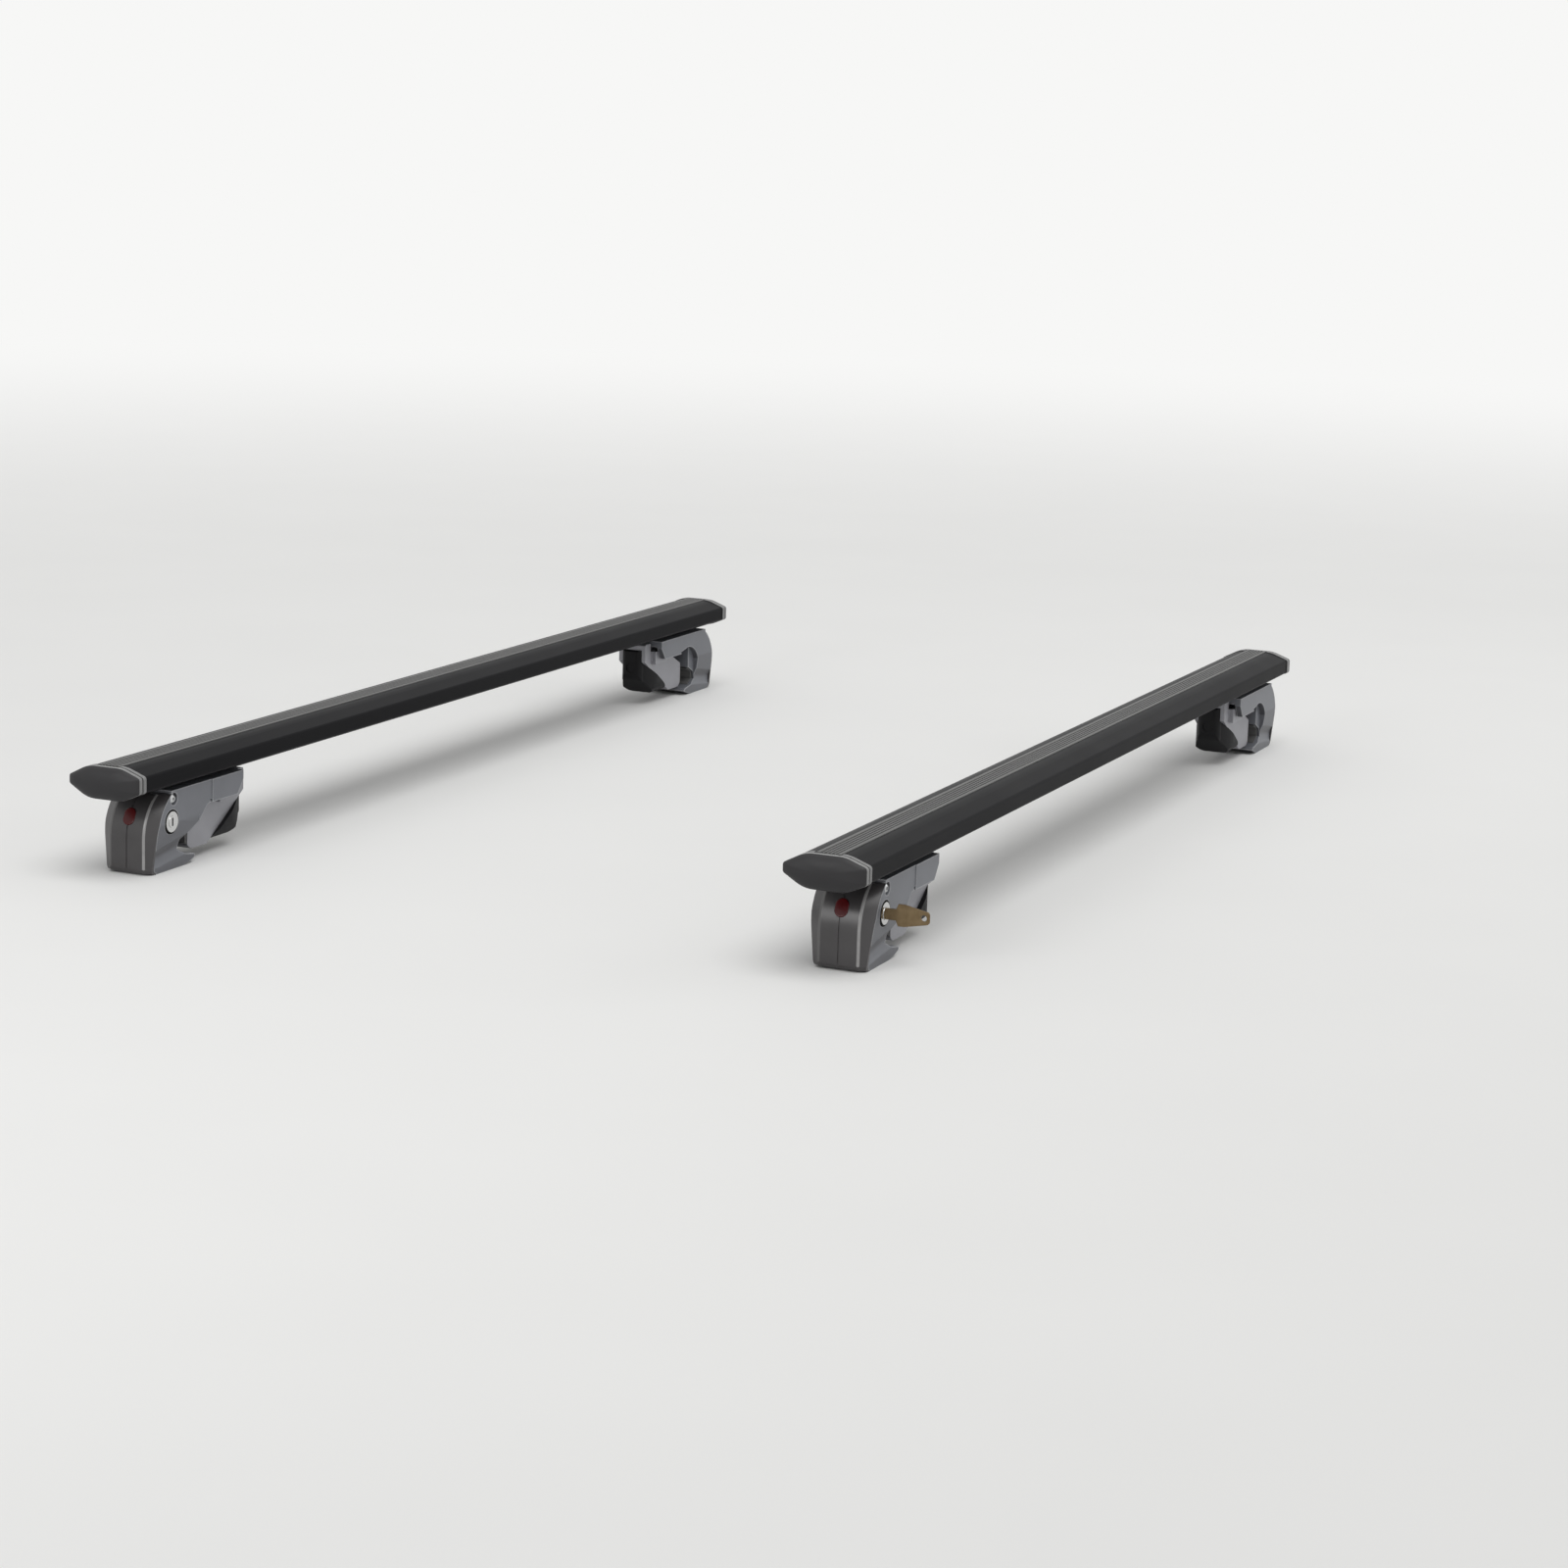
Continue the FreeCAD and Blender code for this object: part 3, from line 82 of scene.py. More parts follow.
ENDS = ("front", "rear")
PEEL = 0.0022            # orange peel of about 1 mm, drawn twice as coarse so that it shows
GLOSS_DRIFT = 0.09       # slow change of gloss along the bar
powder_coat, tree = start_finish("powder_coated_aluminium_satin_black")
place = add_node(tree, "ShaderNodeTexCoord")
peel = add_node(tree, "ShaderNodeTexNoise", {"Scale": 1 / PEEL, "Detail": 2.0},
                {"Vector": place.outputs["Object"]})
drift = add_node(tree, "ShaderNodeTexNoise", {"Scale": 1 / GLOSS_DRIFT, "Detail": 3.0},
                 {"Vector": place.outputs["Object"]})
tone = add_node(tree, "ShaderNodeMix", {"data_type": "RGBA", 6: linear("#131315"), 7: linear("#1a1a1c")},
                {0: drift.outputs[0]})
gloss = add_node(tree, "ShaderNodeMapRange", {"To Min": 0.36, "To Max": 0.48}, {"Value": drift.outputs[0]})
bump = add_node(tree, "ShaderNodeBump", {"Strength": 0.35, "Distance": 0.00005}, {"Height": peel.outputs[0]})
film = add_node(tree, "ShaderNodeBsdfPrincipled", {"IOR": 1.5, "Specular IOR Level": 0.035},
                {"Base Color": tone.outputs[2], "Roughness": gloss.outputs[0], "Normal": bump.outputs[0]})
add_node(tree, "ShaderNodeOutputMaterial", None, {"Surface": film.outputs[0]})
for end in ENDS:
    dress(f"{end}_bar", powder_coat)

# Top strips: extruded black rubber, hooked under the lips of the slot along the bar.
# Two broad lands and four ribs with rounded tops run the whole length; their mid grey is a painted sheen, in
# patches.
# Each is drawn by one node tree: runs of a rounded section set out on a row of points.
STRIP_LENGTH = 1.245
STRIP_WIDTH = 0.022
STRIP_SEAT = 0.0016      # from the seat in the bar up to the floor of the grooves
RIB_PITCH = 0.0034
RIB_WIDTH = 0.0019
RIB_RISE = 0.001
LAND_WIDTH = 0.00345
RIB_COUNT = 4
RIB_EASE = 0.0005        # rounding of ribs and lands
EASE_STEPS = 3
STRIP_INPUTS = (("Length", "NodeSocketFloat"), ("Width", "NodeSocketFloat"), ("Seat", "NodeSocketFloat"),
                ("Rib Count", "NodeSocketInt"), ("Rib Pitch", "NodeSocketFloat"),
                ("Rib Width", "NodeSocketFloat"), ("Rib Rise", "NodeSocketFloat"),
                ("Land Width", "NodeSocketFloat"), ("Top", "NodeSocketVector"),
                ("Finish", "NodeSocketMaterial"))
ribbing = bpy.data.node_groups.new("ribbed_strip", "GeometryNodeTree")
sockets = {}
for label, kind in STRIP_INPUTS:
    sockets[label] = ribbing.interface.new_socket(label, in_out="INPUT", socket_type=kind).identifier
ribbing.interface.new_socket("Geometry", in_out="OUTPUT", socket_type="NodeSocketGeometry")
sizes = add_node(ribbing, "NodeGroupInput").outputs
half_run = add_node(ribbing, "ShaderNodeMath", {"operation": "MULTIPLY", 1: 0.5}, {0: sizes["Length"]})
back_run = add_node(ribbing, "ShaderNodeMath", {"operation": "MULTIPLY", 1: -0.5}, {0: sizes["Length"]})
run_end = add_node(ribbing, "ShaderNodeCombineXYZ", None, {"X": half_run.outputs[0]})
run_start = add_node(ribbing, "ShaderNodeCombineXYZ", None, {"X": back_run.outputs[0]})
run = add_node(ribbing, "GeometryNodeCurvePrimitiveLine", None,
               {"Start": run_start.outputs[0], "End": run_end.outputs[0]})
body_face = add_node(ribbing, "GeometryNodeCurvePrimitiveQuadrilateral", None,
                     {"Width": sizes["Width"], "Height": sizes["Seat"]})
body_run = add_node(ribbing, "GeometryNodeCurveToMesh", {"Fill Caps": True},
                    {"Curve": run.outputs[0], "Profile Curve": body_face.outputs[0]})
half_seat = add_node(ribbing, "ShaderNodeMath", {"operation": "MULTIPLY", 1: -0.5}, {0: sizes["Seat"]})
sink = add_node(ribbing, "ShaderNodeMath", {"operation": "SUBTRACT"},
                {0: half_seat.outputs[0], 1: sizes["Rib Rise"]})
body_drop = add_node(ribbing, "ShaderNodeCombineXYZ", None, {"Z": sink.outputs[0]})
body_set = add_node(ribbing, "GeometryNodeTransform", None,
                    {"Geometry": body_run.outputs[0], "Translation": body_drop.outputs[0]})
tall = add_node(ribbing, "ShaderNodeMath", {"operation": "MULTIPLY", 1: 2.0}, {0: sizes["Rib Rise"]})
drop = add_node(ribbing, "ShaderNodeMath", {"operation": "MULTIPLY", 1: -1.0}, {0: sizes["Rib Rise"]})
land_step = add_node(ribbing, "ShaderNodeMath", {"operation": "SUBTRACT"},
                     {0: sizes["Width"], 1: sizes["Land Width"]})
land_count = add_node(ribbing, "FunctionNodeInputInt", {"integer": 2})
rows = [body_set.outputs[0]]
for wide, count, step in (("Rib Width", sizes["Rib Count"], sizes["Rib Pitch"]),
                          ("Land Width", land_count.outputs[0], land_step.outputs[0])):
    section = add_node(ribbing, "GeometryNodeCurvePrimitiveQuadrilateral", None,
                       {"Width": sizes[wide], "Height": tall.outputs[0]})
    eased = add_node(ribbing, "GeometryNodeFilletCurve",
                     {"mode": "POLY", "Radius": RIB_EASE, "Count": EASE_STEPS}, {"Curve": section.outputs[0]})
    rib = add_node(ribbing, "GeometryNodeCurveToMesh", {"Fill Caps": True},
                   {"Curve": run.outputs[0], "Profile Curve": eased.outputs[0]})
    gaps = add_node(ribbing, "ShaderNodeMath", {"operation": "SUBTRACT", 1: 1.0}, {0: count})
    spread = add_node(ribbing, "ShaderNodeMath", {"operation": "MULTIPLY"}, {0: gaps.outputs[0], 1: step})
    first = add_node(ribbing, "ShaderNodeMath", {"operation": "MULTIPLY", 1: -0.5}, {0: spread.outputs[0]})
    start = add_node(ribbing, "ShaderNodeCombineXYZ", None, {"Y": first.outputs[0], "Z": drop.outputs[0]})
    offset = add_node(ribbing, "ShaderNodeCombineXYZ", None, {"Y": step})
    row = add_node(ribbing, "GeometryNodeMeshLine", None,
                   {"Count": count, "Start Location": start.outputs[0], "Offset": offset.outputs[0]})
    repeat = add_node(ribbing, "GeometryNodeInstanceOnPoints", None,
                      {"Points": row.outputs[0], "Instance": rib.outputs[0]})
    rows.append(repeat.outputs[0])
joined = add_node(ribbing, "GeometryNodeJoinGeometry")
for geometry in rows:
    ribbing.links.new(geometry, joined.inputs[0])
lifted = add_node(ribbing, "GeometryNodeTransform", None,
                  {"Geometry": joined.outputs[0], "Translation": sizes["Top"]})
solid = add_node(ribbing, "GeometryNodeRealizeInstances", None, {"Geometry": lifted.outputs[0]})
painted = add_node(ribbing, "GeometryNodeSetMaterial", None,
                   {"Geometry": solid.outputs[0], "Material": sizes["Finish"]})
add_node(ribbing, "NodeGroupOutput", None, {0: painted.outputs[0]})

RUBBER_GRAIN = 0.0012    # fine drag of the extrusion die
SHEEN_PATCH = 0.03
rubber_with_painted_sheen, tree = start_finish("extruded_rubber_painted_sheen")
place = add_node(tree, "ShaderNodeTexCoord")
grain = add_node(tree, "ShaderNodeTexNoise", {"Scale": 1 / RUBBER_GRAIN, "Detail": 3.0},
                 {"Vector": place.outputs["Object"]})
sheen_patch = add_node(tree, "ShaderNodeTexNoise", {"Scale": 1 / SHEEN_PATCH, "Detail": 4.0},
                {"Vector": place.outputs["Object"]})
# Painted sheen: the black rubber is given a mid grey, in patches, for its bright grazing reflection.
tone = add_node(tree, "ShaderNodeMix", {"data_type": "RGBA", 6: linear("#4c4c4c"), 7: linear("#5f5f5e")},
                {0: sheen_patch.outputs[0]})
rough = add_node(tree, "ShaderNodeMapRange", {"To Min": 0.44, "To Max": 0.6}, {"Value": sheen_patch.outputs[0]})
bump = add_node(tree, "ShaderNodeBump", {"Strength": 0.4, "Distance": 0.00006}, {"Height": grain.outputs[0]})
skin = add_node(tree, "ShaderNodeBsdfPrincipled", {"IOR": 1.52},
                {"Base Color": tone.outputs[2], "Roughness": rough.outputs[0], "Normal": bump.outputs[0]})
add_node(tree, "ShaderNodeOutputMaterial", None, {"Surface": skin.outputs[0]})


def plain_mesh(piece):
    """Turn a piece's modifiers into its mesh, with shared corners merged and faces outward."""
    ready = piece.evaluated_get(bpy.context.evaluated_depsgraph_get())
    data = bpy.data.meshes.new_from_object(ready)
    piece.modifiers.clear()
    piece.data = data
    shape = bmesh.new()
    shape.from_mesh(data)
    bmesh.ops.remove_doubles(shape, verts=shape.verts, dist=1e-6)
    bmesh.ops.recalc_face_normals(shape, faces=shape.faces)
    shape.to_mesh(data)
    shape.free()


for end in ENDS:
    low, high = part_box(f"{end}_strip")
    piece = bpy.data.objects.new(f"{end}_ribbed_strip", bpy.data.meshes.new(f"{end}_ribbed_strip"))
    bpy.context.collection.objects.link(piece)
    maker = piece.modifiers.new("ribs", "NODES")
    maker.node_group = ribbing
    for label, value in (("Length", STRIP_LENGTH), ("Width", STRIP_WIDTH), ("Seat", STRIP_SEAT),
                         ("Rib Count", RIB_COUNT), ("Rib Pitch", RIB_PITCH), ("Rib Width", RIB_WIDTH),
                         ("Rib Rise", RIB_RISE), ("Land Width", LAND_WIDTH),
                         ("Top", (0.0, (low.y + high.y) / 2, high.z)), ("Finish", rubber_with_painted_sheen)):
        maker[sockets[label]] = value
    plain_mesh(piece)
    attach(piece, "bars")
    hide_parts(f"{end}_strip")

# Channel infills and clamp pads: the same rubber with its painted sheen, plain sections.
# The infills close the channel under each bar; the pads are bonded to the hook and the jaw.
FEET = [f"{end}_{side}" for end in ENDS for side in ("left", "right")]
for end in ENDS:
    dress(f"{end}_infill", rubber_with_painted_sheen)
for foot in FEET:
    dress(f"{foot}_hook_pad", rubber_with_painted_sheen)
    dress(f"{foot}_jaw_pad", rubber_with_painted_sheen)

# End caps: injection-moulded black plastic, pushed into the hollow ends of the bars.
# A pillow-shaped face with a fine spark texture, a paler rim, and behind it a paler lip
# that laps over the slopes and edges of the bar on both sides of the strip; their paleness is partly grey
# plastic and partly a painted highlight.
SECTION = [(17.5, 14.5, 30), (-17.5, 14.5, 30), (-37, 7.5, 3.2), (-37, -6.5, 3.2),
           (-18, -14.5, 30), (18, -14.5, 30), (37, -3, 3.2), (37, 4.5, 3.2)]    # mm: across, up, radius
EDGE_REACH = 30          # mm: corners further across lie on the front and rear edges
FACE_REACH = 10          # mm: corners further up or down lie on the top and bottom faces
ARC_STEPS = 6
CAP_PROUD = 0.6          # mm that rim and lip stand proud of the bar
CAP_RIM = 0.0045
RIM_EASE = 0.0006        # rounding of the rim's outer edge
RIM_BACK = 0.0003        # chamfer where the rim meets the bar
CAP_DOME = 0.006
DOME_STEPS = 14
DOME_CROWD = 1.6         # crowds the rings towards the edge, where the face turns fastest
PILLOW = (2.3, 0.62)     # powers that shape the face: flat middle, steep shoulder
DOME_CLOSE = 0.985       # share of the way to the middle at which the last ring closes
LIP_GAP = 0.0012         # shadow line between rim and lip
LIP_RUN = 0.0048
LIP_SINK = -0.3          # mm: the lip's underside lies inside the bar's outline


def wing_section(grow):
    """Rounded outline of the bar in metres, grown by some millimetres, as (y, z) points."""
    corners = []
    for across, up, radius in SECTION:
        side = 1 if abs(across) > EDGE_REACH else 0.5
        lift = 1 if abs(up) > FACE_REACH else 0.5
        corners.append((Vector((across + math.copysign(grow * side, across),
                                up + math.copysign(grow * lift, up))), radius))
    points = []
    for index, (spot, radius) in enumerate(corners):
        back = (corners[index - 1][0] - spot).normalized()
        ahead = (corners[(index + 1) % len(corners)][0] - spot).normalized()
        half = back.angle(ahead) / 2
        reach = radius / math.tan(half)
        centre = spot + (back + ahead).normalized() * radius / math.sin(half)
        first = spot + back * reach - centre
        sweep = first.angle_signed(spot + ahead * reach - centre)
        for step in range(ARC_STEPS + 1):
            turned = first.copy()
            turned.rotate(Matrix.Rotation(-sweep * step / ARC_STEPS, 2))
            points.append((centre + turned) / 1000)
    return points


SPARK = 0.0014           # spark-eroded texture of about 0.5 mm, drawn coarser so that it shows
MELT_FLOW = 0.025        # slow clouding where the melt ran
moulded_black, tree = start_finish("moulded_plastic_black")
place = add_node(tree, "ShaderNodeTexCoord")
spark = add_node(tree, "ShaderNodeTexNoise", {"Scale": 1 / SPARK, "Detail": 3.0},
                 {"Vector": place.outputs["Object"]})
flow = add_node(tree, "ShaderNodeTexNoise", {"Scale": 1 / MELT_FLOW, "Detail": 2.0},
                {"Vector": place.outputs["Object"]})
tone = add_node(tree, "ShaderNodeMix", {"data_type": "RGBA", 6: linear("#1e1d1f"), 7: linear("#272628")},
                {0: flow.outputs[0]})
rough = add_node(tree, "ShaderNodeMapRange", {"To Min": 0.44, "To Max": 0.56}, {"Value": flow.outputs[0]})
bump = add_node(tree, "ShaderNodeBump", {"Strength": 0.5, "Distance": 0.00008}, {"Height": spark.outputs[0]})
plastic = add_node(tree, "ShaderNodeBsdfPrincipled", {"IOR": 1.49, "Specular IOR Level": 0.4},
                   {"Base Color": tone.outputs[2], "Roughness": rough.outputs[0], "Normal": bump.outputs[0]})
add_node(tree, "ShaderNodeOutputMaterial", None, {"Surface": plastic.outputs[0]})

# The rim and lip are glossier than the face, and paler: partly grey plastic, partly a painted highlight for
# the light their edges catch.
RIM_HAZE = 0.004
rim_painted_highlight, tree = start_finish("moulded_plastic_pale_rim_painted_highlight")
place = add_node(tree, "ShaderNodeTexCoord")
haze = add_node(tree, "ShaderNodeTexNoise", {"Scale": 1 / RIM_HAZE, "Detail": 3.0},
                {"Vector": place.outputs["Object"]})
tone = add_node(tree, "ShaderNodeMix", {"data_type": "RGBA", 6: linear("#6c6c6d"), 7: linear("#7f7f7f")},
                {0: haze.outputs[0]})
rough = add_node(tree, "ShaderNodeMapRange", {"To Min": 0.24, "To Max": 0.36}, {"Value": haze.outputs[0]})
plastic = add_node(tree, "ShaderNodeBsdfPrincipled", {"IOR": 1.49},
                   {"Base Color": tone.outputs[2], "Roughness": rough.outputs[0]})
add_node(tree, "ShaderNodeOutputMaterial", None, {"Surface": plastic.outputs[0]})


def make_cap(name, outward):
    """Cap with rim, rounded step and pillow face, closed behind, and the lip over the bar."""
    low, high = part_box(name)
    bar_end = high.x - CAP_RIM - CAP_DOME if outward > 0 else low.x + CAP_RIM + CAP_DOME
    middle = Vector((0, (low.y + high.y) / 2, (low.z + high.z) / 2))
    rim = wing_section(CAP_PROUD)
    dome = wing_section(0.0)
    rings = [(0.0, rim, 0.98), (RIM_BACK, rim, 1.0), (CAP_RIM - RIM_EASE, rim, 1.0),
             (CAP_RIM - RIM_EASE / 3, rim, 0.997), (CAP_RIM, rim, 0.991), (CAP_RIM, dome, 1.0)]
    for step in range(1, DOME_STEPS + 1):
        inward = (step / DOME_STEPS) ** DOME_CROWD
        rise = (1 - (1 - inward) ** PILLOW[0]) ** PILLOW[1]
        rings.append((CAP_RIM + CAP_DOME * rise, dome, 1 - DOME_CLOSE * inward))
    shape = bmesh.new()
    loops = []
    for depth, section, scale in rings:
        loops.append([shape.verts.new(middle + Vector((bar_end + outward * depth, p.x * scale, p.y * scale)))
                      for p in section])
    for inner, outer in zip(loops, loops[1:]):
        for index in range(len(inner)):
            after = (index + 1) % len(inner)
            quad = shape.faces.new((inner[index], inner[after], outer[after], outer[index]))
            quad.material_index = 1 if outer in loops[1:5] else 0
            quad.smooth = True
    shape.faces.new(loops[0])
    shape.faces.new(loops[-1]).smooth = True
    # Corners 6, 7 and 0 bound the thin edge and its slope, corners 1 to 3 the thick ones.
    corner = ARC_STEPS + 1
    flaps = [(section[6 * corner:] + section[:corner - 1], section[corner:4 * corner])
             for section in (wing_section(LIP_SINK), rim)]
    near = bar_end - outward * LIP_GAP
    far = near - outward * LIP_RUN
    for under, over in zip(*flaps):
        ribbons = []
        for depth, section in ((near, under), (near, over), (far, over), (far, under)):
            ribbons.append([shape.verts.new(middle + Vector((depth, p.x, p.y))) for p in section])
        for one, two in zip(ribbons, ribbons[1:] + ribbons[:1]):
            for index in range(len(one) - 1):
                quad = shape.faces.new((one[index], one[index + 1], two[index + 1], two[index]))
                quad.material_index = 1
                quad.smooth = one is ribbons[1]
        for tip in (0, -1):
            shape.faces.new([ribbon[tip] for ribbon in ribbons]).material_index = 1
    bmesh.ops.recalc_face_normals(shape, faces=shape.faces)
    data = bpy.data.meshes.new(name + "_moulded")
    shape.to_mesh(data)
    shape.free()
    data.materials.append(moulded_black)
    data.materials.append(rim_painted_highlight)
    piece = bpy.data.objects.new(name + "_moulded", data)
    bpy.context.collection.objects.link(piece)
    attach(piece, "bars")
    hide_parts(name)


for end in ENDS:
    make_cap(f"{end}_left_cap", -1)
    make_cap(f"{end}_right_cap", 1)

# Foot housings: die-cast aluminium, painted satin blue-grey; hook, cheeks and arm are one casting.
# Fine even grain; pale along the edges, partly rubbed paint and partly a painted highlight; darker on faces
# that look down, a painted shade.
# Each is the imported casting with its sharp edges rounded, screwed up against the bar.
WELD = 1e-5              # corners closer than this are one
FLAT_WITHIN = 0.5        # degrees between facets that are joined into one face


def rounded(name, body, finish, width, crease=32, highlight_finish=None, reshape=None):
    """Stand in for a node with a copy that is reshaped, then rounded where it creases sharply."""
    shape = bmesh.new()
    shape.from_mesh(nodes[name].data)
    bmesh.ops.remove_doubles(shape, verts=shape.verts, dist=WELD)
    bmesh.ops.dissolve_limit(shape, angle_limit=math.radians(FLAT_WITHIN), verts=shape.verts,
                             edges=shape.edges)
    if reshape:
        reshape(shape)
    for face in shape.faces:
        face.smooth = True
    data = bpy.data.meshes.new(name + "_rounded")
    shape.to_mesh(data)
    shape.free()
    data.materials.append(finish)
    if highlight_finish:
        data.materials.append(highlight_finish)
    piece = bpy.data.objects.new(name + "_rounded", data)
    bpy.context.collection.objects.link(piece)
    bevel = piece.modifiers.new("edges", "BEVEL")
    bevel.width = width
    bevel.segments = 2
    bevel.limit_method = "ANGLE"
    bevel.angle_limit = math.radians(crease)
    bevel.use_clamp_overlap = True
    bevel.harden_normals = True
    # On the covers the faces that the bevel makes take the second finish, the painted highlight.
    bevel.material = 1 if highlight_finish else -1
    even = piece.modifiers.new("shading", "WEIGHTED_NORMAL")
    even.keep_sharp = True
    ready = piece.evaluated_get(bpy.context.evaluated_depsgraph_get())
    plain = bpy.data.meshes.new_from_object(ready)
    piece.modifiers.clear()
    piece.data = plain
    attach(piece, body)
    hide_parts(name)


PAINT_GRIT = 0.0013      # grain of about 0.6 mm, drawn coarser so that it shows
PAINT_CLOUD = 0.035
CAST_EDGE = 0.0006       # rounding of a casting's edges in its shape
EDGE_ROUND = 0.001       # and of the same edges in its shading
RUB_HIGHLIGHT_REACH = 1.8 * EDGE_ROUND
RUB_HIGHLIGHT_FROM = 0.86          # open share of the metal's inside at which the pale edge, partly rubbed paint and partly painted highlight, starts, and is full
RUB_HIGHLIGHT_FULL = 0.4
SHADE_FROM = -0.02        # downward tilt at which the painted shade starts to show, and is full
SHADE_FULL = -0.24
cast_paint, tree = start_finish("painted_casting_blue_grey")
place = add_node(tree, "ShaderNodeTexCoord")
grit = add_node(tree, "ShaderNodeTexNoise", {"Scale": 1 / PAINT_GRIT, "Detail": 3.0},
                {"Vector": place.outputs["Object"]})
cloud = add_node(tree, "ShaderNodeTexNoise", {"Scale": 1 / PAINT_CLOUD, "Detail": 3.0},
                 {"Vector": place.outputs["Object"]})
tone = add_node(tree, "ShaderNodeMix", {"data_type": "RGBA", 6: linear("#606268"), 7: linear("#72747a")},
                {0: cloud.outputs[0]})
# Painted shade: faces whose normal points down are darkened towards #434347.
facing = add_node(tree, "ShaderNodeSeparateXYZ", None, {0: place.outputs["Normal"]})
under = add_node(tree, "ShaderNodeMapRange", {"From Min": SHADE_FROM, "From Max": SHADE_FULL, "To Max": 0.85},
                 {"Value": facing.outputs["Z"]})
painted_shade_tone = add_node(tree, "ShaderNodeMix", {"data_type": "RGBA", 7: linear("#434347")},
                  {0: under.outputs[0], 6: tone.outputs[2]})
# Pale edges: partly rubbed paint, partly a painted highlight where the edges would catch the light; convex
# edges are found by occlusion from inside.
arris = add_node(tree, "ShaderNodeAmbientOcclusion", {"samples": 8, "inside": True, "only_local": True,
                                                      "Distance": RUB_HIGHLIGHT_REACH})
rub_and_highlight = add_node(tree, "ShaderNodeMapRange", {"From Min": RUB_HIGHLIGHT_FROM, "From Max": RUB_HIGHLIGHT_FULL, "To Max": 0.7},
               {"Value": arris.outputs["AO"]})
rubbed_and_highlit = add_node(tree, "ShaderNodeMix", {"data_type": "RGBA", 7: linear("#c6c8cb")},
                  {0: rub_and_highlight.outputs[0], 6: painted_shade_tone.outputs[2]})
rough = add_node(tree, "ShaderNodeMapRange", {"To Min": 0.36, "To Max": 0.48}, {"Value": cloud.outputs[0]})
soft = add_node(tree, "ShaderNodeBevel", {"samples": 6, "Radius": EDGE_ROUND})
bump = add_node(tree, "ShaderNodeBump", {"Strength": 0.4, "Distance": 0.00006},
                {"Height": grit.outputs[0], "Normal": soft.outputs[0]})
paint = add_node(tree, "ShaderNodeBsdfPrincipled", {"IOR": 1.5},
                 {"Base Color": rubbed_and_highlit.outputs[2], "Roughness": rough.outputs[0], "Normal": bump.outputs[0]})
add_node(tree, "ShaderNodeOutputMaterial", None, {"Surface": paint.outputs[0]})
for foot in FEET:
    rounded(f"{foot}_housing", f"{foot}_foot", cast_paint, CAST_EDGE)

# Outer covers: moulded dark grey plastic shells over the bolt heads, held by the locks.
# Satin, with raked sides that meet the flat front in two soft ridges that carry a painted highlight.
# The ridges are rolled over on a copy of the imported shell, and end above its rounded lower edge.
COVER_EDGE = 0.0006
COVER_CREASE = 24        # degrees
COVER_RIDGE = 0.0014
RIDGE_STEPS = 5
RIDGE_FOOT = 0.0065      # height at which the ridges run out
RIDGE_SLANT = 0.4        # sideways lean that an edge may have and still be part of a ridge
RIDGE_BEND = 1.2         # radians
FRONT_TILT = 0.1         # sideways tilt of the front, and of the raked sides
RAKE_LEAST = 0.2
RAKE_MOST = 0.95
CROWN_FROM = 0.1         # shares of the rake between which a ridge's facets are its crown
CROWN_TO = 0.9


def roll_ridges(shape):
    """Round the long edges between front and raked sides, and mark the crowns for the painted highlight."""
    ridges = []
    for edge in shape.edges:
        if len(edge.link_faces) != 2:
            continue
        flat, slope = sorted((face.normal for face in edge.link_faces), key=lambda n: abs(n.y))
        along = (edge.verts[0].co - edge.verts[1].co).normalized()
        raked = abs(flat.y) < FRONT_TILT and RAKE_LEAST < abs(slope.y) < RAKE_MOST
        lengthwise = abs(along.y) < RIDGE_SLANT and flat.angle(slope) < RIDGE_BEND
        if raked and lengthwise and max(corner.co.z for corner in edge.verts) > RIDGE_FOOT:
            ridges.append(edge)
    rake = max(abs(face.normal.y) for edge in ridges for face in edge.link_faces)
    rolled = bmesh.ops.bevel(shape, geom=ridges, offset=COVER_RIDGE, segments=RIDGE_STEPS, profile=0.5,
                             affect="EDGES", clamp_overlap=False)
    for face in rolled["faces"]:
        on_crown = CROWN_FROM * rake < abs(face.normal.y) < CROWN_TO * rake
        face.material_index = 1 if on_crown else 0


cover_plastic, tree = start_finish("moulded_plastic_dark_grey")
place = add_node(tree, "ShaderNodeTexCoord")
spark = add_node(tree, "ShaderNodeTexNoise", {"Scale": 1 / SPARK, "Detail": 3.0},
                 {"Vector": place.outputs["Object"]})
flow = add_node(tree, "ShaderNodeTexNoise", {"Scale": 1 / MELT_FLOW, "Detail": 2.0},
                {"Vector": place.outputs["Object"]})
tone = add_node(tree, "ShaderNodeMix", {"data_type": "RGBA", 6: linear("#3c3a3b"), 7: linear("#474546")},
                {0: flow.outputs[0]})
rough = add_node(tree, "ShaderNodeMapRange", {"To Min": 0.26, "To Max": 0.36}, {"Value": flow.outputs[0]})
bump = add_node(tree, "ShaderNodeBump", {"Strength": 0.3, "Distance": 0.00005}, {"Height": spark.outputs[0]})
plastic = add_node(tree, "ShaderNodeBsdfPrincipled", {"IOR": 1.49},
                   {"Base Color": tone.outputs[2], "Roughness": rough.outputs[0], "Normal": bump.outputs[0]})
add_node(tree, "ShaderNodeOutputMaterial", None, {"Surface": plastic.outputs[0]})

